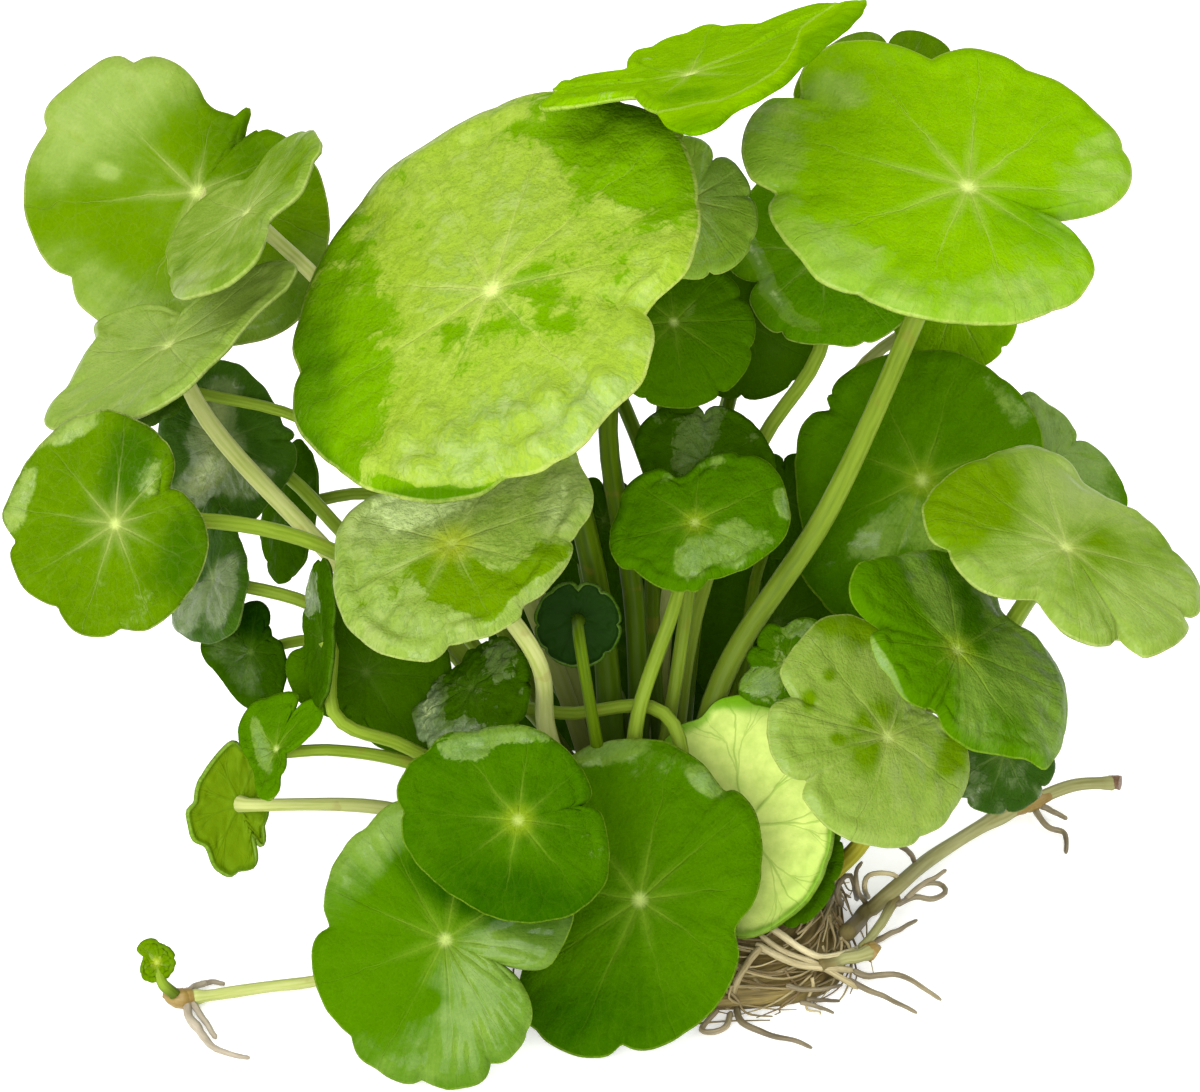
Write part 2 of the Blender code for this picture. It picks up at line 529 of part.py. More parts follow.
def strand_path(strand):
    """Even points along a smooth line through a strand's places."""
    places = [Vector(place) for place in strand.places]
    ways = [places[1] - places[0]]
    ways += [(after - before) * 0.5 for before, after in zip(places, places[2:])]
    ways.append(places[-1] - places[-2])
    fine = []
    for k in range(len(places) - 1):
        for step in range(10):
            fine.append(hermite(places[k], places[k + 1], ways[k], ways[k + 1], step / 10))
    fine.append(places[-1])
    return even_points(fine, max(len(places), 5))


def main():
    clear_scene()
    parts = new_collection("whorled_pennywort")
    cutters = new_collection("stalks_joined_to_blades")
    root = bpy.data.objects.new("whorled_pennywort_root", None)
    parts.objects.link(root)
    materials = {
        LEAF_GREEN: plain_material("leaf_green", LEAF_GREEN, 0.35),
        LEAF_DARK: plain_material("leaf_dark", LEAF_DARK, 0.35),
        LEAF_PALE: plain_material("leaf_pale", LEAF_PALE, 0.45),
        STALK_GREEN: plain_material("runner_green", STALK_GREEN, 0.45),
        ROOT_BROWN: plain_material("root_brown", ROOT_BROWN, 0.7),
    }
    spots = settle_feet([leaf for leaf in LEAVES if not leaf.rooted])
    for leaf in LEAVES:
        build_leaf(leaf, spots.get(leaf.name), parts, cutters, root, materials)
    build_mat(parts, root, materials[ROOT_BROWN])
    for strand in STRANDS:
        made = tube(strand.name, strand_path(strand), strand.start_radius, strand.end_radius, parts)
        made.parent = root
        made.data.materials.append(materials[strand.colour])
    root.location = CLUMP_PLACE * MM


if __name__ == "__main__":
    main()
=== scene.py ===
"""Whorled pennywort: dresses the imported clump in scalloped, veined leaves, ribbed stalks and fine roots."""

import logging
import math
import zlib
from dataclasses import dataclass
from enum import Enum
from functools import cached_property

import bpy
import numpy as np
from mathutils import Matrix, Vector

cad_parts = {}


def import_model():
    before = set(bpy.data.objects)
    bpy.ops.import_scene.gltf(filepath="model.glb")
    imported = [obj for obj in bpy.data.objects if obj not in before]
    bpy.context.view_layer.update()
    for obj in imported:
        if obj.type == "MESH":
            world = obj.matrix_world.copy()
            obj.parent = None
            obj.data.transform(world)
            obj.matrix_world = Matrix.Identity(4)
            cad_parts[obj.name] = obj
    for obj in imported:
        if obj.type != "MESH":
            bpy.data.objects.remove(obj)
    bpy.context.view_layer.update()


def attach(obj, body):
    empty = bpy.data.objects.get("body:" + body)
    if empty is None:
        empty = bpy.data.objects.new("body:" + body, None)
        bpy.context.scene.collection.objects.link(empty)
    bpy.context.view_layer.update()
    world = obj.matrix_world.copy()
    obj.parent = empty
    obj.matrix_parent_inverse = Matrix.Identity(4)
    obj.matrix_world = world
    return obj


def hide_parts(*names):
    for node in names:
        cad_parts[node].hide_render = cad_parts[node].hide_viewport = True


LOG = logging.getLogger("pennywort")
MM = 0.001
TURN = 2 * math.pi
LEAF_LIGHT = 0.5  # the studio's light is twice an even white one
STALK_BASE = 0.45
STALK_SHARE = 0.033
STALK_BURIED = 2.0
STALK_RISE = 0.6
STALK_APPROACH = 0.2
CURVE_STEPS = 16
EDGE_POINTS = 1441
EDGE_SMOOTHING = 41
AIM_ROUNDS = 5
AIM_STEP = 0.7
REACH_LIMIT = 2.2
KNOT_GAP = 0.004
LEAST_LEAN = 0.3
STRAND_SHIFT = 3.7
SHARP_ANGLE = math.radians(60)
GROUND_GAP = 0.05

Colour = tuple[float, float, float, float]
Socket = bpy.types.NodeSocket
Skins = dict[str, bpy.types.Material]


def tint(red: int, green: int, blue: int) -> Colour:
    """Turns a colour as a screen shows it into the linear one that shaders take.

    Args:
        red: red from 0 to 255.
        green: green from 0 to 255.
        blue: blue from 0 to 255.

    Returns:
        Linear red, green and blue with full alpha.
    """
    parts = []
    for value in (red, green, blue):
        share = value / 255
        parts.append(share / 12.92 if share <= 0.04045 else ((share + 0.055) / 1.055) ** 2.4)
    return parts[0], parts[1], parts[2], 1.0


def leaf_tint(red: int, green: int, blue: int) -> Colour:
    """Linear colour of a leaf that a screen shows like this under the studio's strong light."""
    colour = tint(red, green, blue)
    return colour[0] * LEAF_LIGHT, colour[1] * LEAF_LIGHT, colour[2] * LEAF_LIGHT, 1.0


def ease(low: float, high: float, value: np.ndarray) -> np.ndarray:
    """Rises smoothly from 0 where value is low to 1 where it is high.

    Args:
        low: value where the rise starts.
        high: value where it ends.
        value: values to ease.

    Returns:
        Shares from 0 to 1, one for each value.
    """
    share = np.clip((value - low) / (high - low), 0.0, 1.0)
    return share * share * (3 - 2 * share)


def hermite(start: np.ndarray, end: np.ndarray, leaving: np.ndarray, arriving: np.ndarray,
            t: float | np.ndarray) -> np.ndarray:
    """A point of the smooth curve between two values, which leaves and arrives in given ways."""
    return (start * (2 * t ** 3 - 3 * t ** 2 + 1) + leaving * (t ** 3 - 2 * t ** 2 + t)
            + end * (3 * t ** 2 - 2 * t ** 3) + arriving * (t ** 3 - t ** 2))


def dice_of(name: str) -> np.random.Generator:
    """Random numbers that are the same for a name in every run."""
    return np.random.default_rng(zlib.crc32(name.encode()))


@dataclass(frozen=True)
class View:
    """The view that the leaves are placed in: a camera in front of the clump that looks down at it.

    A place in it is across, up and away in mm: right of and above the picture's middle, and behind its plane.
    """

    pitch: float = math.radians(35)
    distance: float = 450.0
    centre: tuple[float, float, float] = (1.2, 0.9, 30.0)
    picture: tuple[int, int] = (1200, 1092)
    pixels_per_mm: float = 10.7
    sensor: float = 36.0

    @property
    def right(self) -> np.ndarray:
        """World direction to the right of the picture."""
        return np.array([1.0, 0.0, 0.0])

    @property
    def up(self) -> np.ndarray:
        """World direction to the top of the picture."""
        return np.array([0.0, math.sin(self.pitch), math.cos(self.pitch)])

    @property
    def away(self) -> np.ndarray:
        """World direction away from the camera."""
        return np.array([0.0, math.cos(self.pitch), -math.sin(self.pitch)])

    @property
    def eye(self) -> np.ndarray:
        """World place of the camera in mm."""
        return np.array(self.centre) - self.away * self.distance

    @property
    def lens(self) -> float:
        """Focal length in mm that gives the picture its scale."""
        return self.sensor * self.distance * self.pixels_per_mm / self.picture[0]

    def seen(self, across: float, up: float, away: float) -> np.ndarray:
        """World place of a point of the view.

        Args:
            across: mm right of the middle, in the middle plane.
            up: mm above the middle, in the middle plane.
            away: mm behind the middle plane.

        Returns:
            The place in mm.
        """
        spread = 1 + away / self.distance
        return np.array(self.centre) + self.right * across * spread + self.up * up * spread + self.away * away

    def lying(self, x: float, y: float, height: float) -> np.ndarray:
        """World place that is seen at a point of the picture and lies that high over the ground.

        Args:
            x: pixels from the picture's left edge.
            y: pixels from its top edge.
            height: mm over the ground.

        Returns:
            The place in mm.
        """
        across, up, _ = at(x, y, 0.0)
        eye = self.eye
        ray = self.right * across + self.up * up + self.away * self.distance
        return eye + ray * ((height - eye[2]) / ray[2])

    def flat(self, points: np.ndarray) -> np.ndarray:
        """Where world points are seen.

        Args:
            points: world places in mm, one to a row.

        Returns:
            Mm across and up the middle plane, one pair to a row.
        """
        off = points - np.array(self.centre)
        spread = 1 + off @ self.away / self.distance
        return np.stack([off @ self.right / spread, off @ self.up / spread], axis=-1)


VIEW = View()


def at(x: float, y: float, away: float) -> tuple[float, float, float]:
    """A point of the picture in pixels and its depth, as mm across, up and away."""
    width, height = View.picture
    return (x - width / 2) / View.pixels_per_mm, (height / 2 - y) / View.pixels_per_mm, away


def middle_plane(pixels: tuple[int, ...]) -> np.ndarray:
    """Mm across and up of points of the picture whose x and y are given by turns, one point to a row."""
    return np.array([at(x, y, 0.0)[:2] for x, y in zip(pixels[::2], pixels[1::2])])


class Tone(Enum):
    """The skins that leaves wear, from full light to deep shade: lit and shaded copies of one green, with
    light and shade painted in.
    """

    SUNLIT = "leaf_sunlit"
    FRESH = "leaf_fresh"
    SOFT = "leaf_soft"
    SHADED = "leaf_shaded"
    DEEP_SHADE = "leaf_deep_shade"
    WET = "leaf_wet"


class Stem(Enum):
    """The skins that stalks and runners wear; the dark one is a copy with painted shade, for stalks deep in
    the clump.
    """

    PALE = "stalk_pale"
    GREEN = "stalk_green"
    OLIVE = "stalk_olive"
    GREY = "stalk_grey"
    DARK = "stalk_in_shade"


class Under(Enum):
    """The skins that undersides wear; the dark one is a copy with painted shade, for an underside deep in the
    clump.
    """

    PALE = "underside_pale"
    GREEN = "underside_green"
    DARK = "underside_in_shade"


# Spots raise a blade (lifts), paint a pale reflection on it (sheen) or paint shade on it (gloom).
@dataclass(frozen=True)
class Spot:
    """A soft spot of a leaf: the point of the picture it is seen at, its size in mm, and its strength."""

    x: float
    y: float
    size: float
    strength: float = 1.0
    length: float = 1.0
    tilt: float = 0.0

    def cover(self, flat: np.ndarray) -> np.ndarray:
        """How strongly the spot lies on points.

        Args:
            flat: where the points are seen, in mm across and up.

        Returns:
            Its strength at each point.
        """
        across, up, _ = at(self.x, self.y, 0.0)
        off = flat - np.array([across, up])
        turn = math.radians(self.tilt)
        along = (off[:, 0] * math.cos(turn) + off[:, 1] * math.sin(turn)) / self.length
        beside = off[:, 1] * math.cos(turn) - off[:, 0] * math.sin(turn)
        return self.strength * np.exp(-((along ** 2 + beside ** 2) / self.size ** 2) ** 1.5)


@dataclass(frozen=True)
class Cut:
    """A notch between two lobes: the point of the picture it points to, its share of depth, and its width."""

    x: float
    y: float
    depth: float = 0.1
    width: float = 0.06


@dataclass(frozen=True)
class Margin:
    """Sizes that all blades' margins share: lobes as shares of their spacing, widths in radians."""

    lobe_room: float = 0.6
    lobe_drift: float = 0.16
    lobe_width: tuple[float, float] = (0.03, 0.06)
    marked_scallop: float = 0.008
    frills: tuple[int, ...] = (13, 19, 29, 41)
    frill_depth: float = 0.05
    swell: float = 1.008
    swell_share: float = 0.3
    notch_shape: float = 1.2
    steepest: float = 2.5


MARGIN = Margin()


@dataclass(frozen=True)
class Relief:
    """Sizes that all blades' surfaces share: widths and depths in mm, and shares of the blade's radius."""

    waves: tuple[int, ...] = (2, 3, 5)
    ripples: tuple[int, ...] = (9, 14)
    pillow_start: float = 0.35
    rim_start: float = 0.86
    rib_depth: float = 0.12
    rib_width: float = 0.45
    hub_depth: float = 0.35
    hub_width: float = 0.9
    fold_share: float = 0.009
    ripple: float = 0.05
    rim_share: float = 0.022
    bead_at: float = 0.92
    bead_width: float = 0.05
    dip_at: float = 0.81
    dip_width: float = 0.045
    dip: float = 0.7


RELIEF = Relief()


@dataclass(frozen=True)
class Leaf:
    """One leaf: a round blade held by a stalk at its hub.

    The fields down to rooted, but for tone and stem, repeat the solid's: hub and via are places of the view,
    facing is how far the blade's top normal leans right and up in it, notch_at is where its deep notch points
    in degrees, and margin is how far the margin is seen from the hub at each hour of a clock in mm. Marks are
    points of the picture that the finished margin passes, clockwise, and turned is the line below which the
    rim is turned over, with painted shade and a painted highlight: both give x and y by turns. The rest is
    the finish, with light painted in: sheen and shiny paint a pale reflection, and gloom and dark paint
    shade.
    """

    name: str
    hub: tuple[float, float, float]
    radius: float
    facing: tuple[float, float]
    tone: Tone = Tone.FRESH
    stem: Stem = Stem.GREEN
    notch_at: float = 90.0
    notch: float = 0.2
    cup: float = -0.12
    fold: float = 0.0
    side: int = 1
    offset: float = 0.08
    via: tuple[tuple[float, float, float], ...] = ()
    foot: tuple[float, ...] = ()
    margin: tuple[float, ...] = ()
    rooted: tuple[float, ...] = ()
    marks: tuple[int, ...] = ()
    under: Under = Under.GREEN
    lobes: int = 8
    scallop: float = 0.06
    notch_width: float = 0.1
    cuts: tuple[Cut, ...] = ()
    lifts: tuple[Spot, ...] = ()
    # painted light: the sheen spots and the base sheen paint a pale reflection; the gloom spots and dark
    # paint shade
    sheen: tuple[Spot, ...] = ()
    gloom: tuple[Spot, ...] = ()
    painted_sheen: float = 0.0
    crisp: float = 0.3
    glow: float = 0.0
    dark: float = 0.0
    wave: float = 0.03
    pillow: float = 0.022
    wrinkle: float = 1.6
    roll: float = 0.1
    turned: tuple[int, ...] = ()

    @cached_property
    def frame(self) -> tuple[np.ndarray, np.ndarray, np.ndarray, np.ndarray]:
        """How the blade lies.

        Returns:
            Its hub, the axis toward the notch, the axis across it and the top normal.
        """
        hub = VIEW.seen(*self.hub)
        right, up = self.facing
        toward = math.sqrt(max(0.0, 1 - right * right - up * up)) * self.side
        normal = VIEW.right * right + VIEW.up * up - VIEW.away * toward
        normal = normal / np.linalg.norm(normal)
        turn = math.radians(self.notch_at)
        wanted = VIEW.right * math.cos(turn) + VIEW.up * math.sin(turn)
        lean = math.copysign(max(abs(toward), LEAST_LEAN), toward)
        first = wanted + VIEW.away * (wanted @ normal / lean)
        first = first - normal * (first @ normal)
        first = first / np.linalg.norm(first)
        return hub, first, np.cross(normal, first), normal

    def spoke(self, across: np.ndarray, up: np.ndarray) -> tuple[np.ndarray, np.ndarray]:
        """Finds the points of the blade's flat that are seen at places.

        Args:
            across: mm right of the hub, as seen.
            up: mm above the hub, as seen.

        Returns:
            The points' local angles from the notch, and their radii in mm.
        """
        hub, first, second, normal = self.frame
        eye = VIEW.eye
        lifted = hub + normal * (self.cup * self.radius)
        rays = np.outer(self.hub[0] + across, VIEW.right) + np.outer(self.hub[1] + up, VIEW.up)
        rays = rays + VIEW.away * VIEW.distance
        off = eye + rays * ((lifted - eye) @ normal / (rays @ normal))[:, None] - lifted
        return np.arctan2(off @ second, off @ first) % TURN, np.linalg.norm(off, axis=1)

    @cached_property
    def knots(self) -> tuple[np.ndarray, np.ndarray]:
        """The places that the margin passes.

        Returns:
            Their local angles and their radii in mm, in order and closed.
        """
        if self.marks:
            wanted = middle_plane(self.marks)
            aim = wanted - np.array(self.hub[:2])
            theta, reach = self.spoke(aim[:, 0], aim[:, 1])
            for _ in range(AIM_ROUNDS):
                missed = wanted - VIEW.flat(self.lay(np.ones(len(theta)), theta, reach))
                aim = aim + AIM_STEP * missed
                theta, reach = self.spoke(aim[:, 0], aim[:, 1])
                reach = np.minimum(reach, REACH_LIMIT * self.radius)
        else:
            turns = np.radians(90 - 30 * np.arange(12))
            reaches = np.array(self.margin or (self.radius,) * 12)
            theta, reach = self.spoke(reaches * np.cos(turns), reaches * np.sin(turns))
        order = np.argsort(theta)
        theta, reach = theta[order], reach[order]
        keep = np.concatenate([np.diff(theta) > KNOT_GAP, [True]])
        theta, reach = theta[keep], reach[keep]
        theta = np.concatenate([theta[-2:] - TURN, theta, theta[:2] + TURN])
        return theta, np.concatenate([reach[-2:], reach, reach[:2]])

    def outline(self, theta: np.ndarray) -> np.ndarray:
        """Radius of the margin before its notches.

        Args:
            theta: local angles from the notch.

        Returns:
            The radius at each angle in mm.
        """
        if not self.marks and not self.margin:
            return self.radius * (1 - self.offset * np.cos(theta))
        angles, radii = self.knots
        spans = np.diff(angles)
        slopes = np.diff(radii) / spans
        bend = np.zeros(len(angles))
        bend[1:-1] = (slopes[:-1] * spans[1:] + slopes[1:] * spans[:-1]) / (spans[1:] + spans[:-1])
        limit = MARGIN.steepest * np.minimum(np.abs(slopes[:-1]), np.abs(slopes[1:]))
        bend[1:-1] = np.clip(bend[1:-1], -limit, limit)
        theta = theta % TURN
        index = np.clip(np.searchsorted(angles, theta, side="right") - 1, 0, len(angles) - 2)
        span = spans[index]
        t = (theta - angles[index]) / span
        return hermite(radii[index], radii[index + 1], bend[index] * span, bend[index + 1] * span, t)

    @cached_property
    def notches(self) -> list[tuple[float, float, float]]:
        """The notches of the margin.

        Returns:
            Local angle, depth and width of each, the one at angle 0 first.
        """
        dice = dice_of(self.name)
        placed = []
        for cut in self.cuts:
            across, up, _ = at(cut.x, cut.y, 0.0)
            angles, _ = self.spoke(np.array([across - self.hub[0]]), np.array([up - self.hub[1]]))
            placed.append((float(angles[0]), cut.depth, cut.width))
        found = [(0.0, self.notch, self.notch_width)]
        room = MARGIN.lobe_room * TURN / self.lobes
        for lobe in range(1, self.lobes):
            angle = TURN * (lobe + dice.uniform(-MARGIN.lobe_drift, MARGIN.lobe_drift)) / self.lobes
            depth = (MARGIN.marked_scallop if self.marks else self.scallop) * dice.uniform(0.5, 1.5)
            width = dice.uniform(*MARGIN.lobe_width)
            if all(abs(angle - other[0]) > room for other in placed):
                found.append((angle, depth, width))
        return sorted(found + placed)

    def phase(self, theta: np.ndarray) -> np.ndarray:
        """Counts lobes round the blade: a whole number at each notch, and a half along each main vein."""
        angles = [notch[0] for notch in self.notches] + [TURN]
        return np.interp(theta, angles, np.arange(len(angles), dtype=float))

    def rim(self, theta: np.ndarray) -> np.ndarray:
        """Radius of the finished margin in mm, with its lobes and notches, at local angles."""
        angles, radii = self.edge
        return np.interp(theta % TURN, angles, radii)

    @cached_property
    def edge(self) -> tuple[np.ndarray, np.ndarray]:
        """The finished margin.

        Returns:
            Many local angles and the radius in mm at each.
        """
        dice = dice_of(self.name + "_edge")
        fine = np.linspace(0, TURN, EDGE_POINTS)
        radius = self.outline(fine)
        phase = self.phase(fine)
        if not self.marks:
            kernel = np.hanning(EDGE_SMOOTHING)
            half = EDGE_SMOOTHING // 2
            padded = np.concatenate([radius[-1 - half:-1], radius, radius[1:1 + half]])
            radius = np.convolve(padded, kernel / kernel.sum(), "valid")
            lobe = np.abs(phase - np.floor(phase) - 0.5) * 2
            radius = radius * (MARGIN.swell - MARGIN.swell_share * self.scallop * lobe ** 4)
        for order in MARGIN.frills:
            swell = dice.uniform(0.3, 1.0) * MARGIN.frill_depth / order
            radius = radius * (1 + swell * np.sin(order * fine + dice.uniform(0, TURN)))
        for angle, depth, width in self.notches:
            off = np.abs((fine - angle + math.pi) % TURN - math.pi)
            radius = radius * (1 - depth * np.exp(-((off / width) ** MARGIN.notch_shape)))
        return fine, radius

    @cached_property
    def spread(self) -> tuple[np.ndarray, np.ndarray]:
        """Where the spokes of the blade go.

        Returns:
            Even shares of a turn, and the local angles that replace them, closer where the margin turns fast.
        """
        fine, radius = self.edge
        along = np.hypot(np.diff(radius), radius[:-1] * np.diff(fine)) / radius.mean() + 0.6 * np.diff(fine)
        run = np.concatenate([[0.0], np.cumsum(along)])
        return run / run[-1] * TURN, fine

    def relief(self, rho: np.ndarray, theta: np.ndarray, reach: np.ndarray) -> np.ndarray:
        """Height of the blade over its hub in mm, before it is rolled.

        Args:
            rho: share of the way from hub to margin.
            theta: local angle from the notch.
            reach: distance from the hub in mm.

        Returns:
            The heights.
        """
        dice = dice_of(self.name + "_relief")
        phase = self.phase(theta)
        lobe = phase - np.floor(phase)
        height = self.cup * self.radius * rho ** 2
        puffed = np.sin(math.pi * lobe) ** 0.8 * ease(RELIEF.pillow_start, 0.9, rho)
        height = height + self.pillow * self.radius * puffed
        for order in RELIEF.waves:
            swell = dice.uniform(0.4, 1.0) * self.wave * self.radius * 2 / order
            height = height + swell * np.sin(order * theta + dice.uniform(0, TURN)) * rho ** 2.5
        ribs = np.abs(lobe - 0.5) * TURN / self.lobes * reach
        rib = np.exp(-((ribs / RELIEF.rib_width) ** 2)) * ease(0.03, 0.15, rho)
        height = height - RELIEF.rib_depth * rib * (1 - rho)
        folds = np.abs(np.sin(TURN * phase * 1.5 + 3 * rho)) * ease(0.5, 0.8, rho) * (1 - ease(0.93, 1, rho))
        height = height + RELIEF.fold_share * self.wrinkle * self.radius * folds
        for order in RELIEF.ripples:
            turn = dice.uniform(0, TURN)
            ripple = np.sin(order * theta + turn + 7 * rho) * np.sin(order * 1.3 * rho + turn)
            height = height + RELIEF.ripple * self.wrinkle * ripple * rho
        height = height - RELIEF.rim_share * self.radius * ease(RELIEF.rim_start, 1.0, rho) ** 2
        bead = np.exp(-(((rho - RELIEF.bead_at) / RELIEF.bead_width) ** 2))
        dip = np.exp(-(((rho - RELIEF.dip_at) / RELIEF.dip_width) ** 2))
        height = height + self.roll * (bead - RELIEF.dip * dip) * (1 + 0.5 * np.sin(TURN * phase))
        return height - RELIEF.hub_depth * np.exp(-((reach / RELIEF.hub_width) ** 2))

    def surface(self, rho: np.ndarray, theta: np.ndarray) -> np.ndarray:
        """World places in mm of points of the blade.

        Args:
            rho: share of the way from hub to margin.
            theta: local angle from the notch.

        Returns:
            The places, one to a row.
        """
        return self.lay(rho, theta, self.rim(theta) * rho)

    def lay(self, rho: np.ndarray, theta: np.ndarray, reach: np.ndarray) -> np.ndarray:
        """World places in mm of points of the blade whose distances from the hub are given.

        Args:
            rho: share of the way from hub to margin.
            theta: local angle from the notch.
            reach: distance from the hub in mm.

        Returns:
            The places, one to a row.
        """
        hub, first, second, normal = self.frame
        across = reach * np.sin(theta)
        along = reach * np.cos(theta)
        height = self.relief(rho, theta, reach)
        if self.lifts:
            level = hub + np.outer(along, first) + np.outer(across, second)
            flat = VIEW.flat(level + normal * (self.cup * self.radius))
            for lift in self.lifts:
                height = height + lift.cover(flat)
        if self.fold:
            curl = math.radians(self.fold) / self.radius
            bend = curl * across
            across = np.sin(bend) / curl - height * np.sin(bend)
            height = height * np.cos(bend) + (1 - np.cos(bend)) / curl
        return hub + np.outer(along, first) + np.outer(across, second) + np.outer(height, normal)

    @property
    def stalk_radius(self) -> float:
        """Radius of the stalk in mm."""
        return STALK_BASE + STALK_SHARE * self.radius
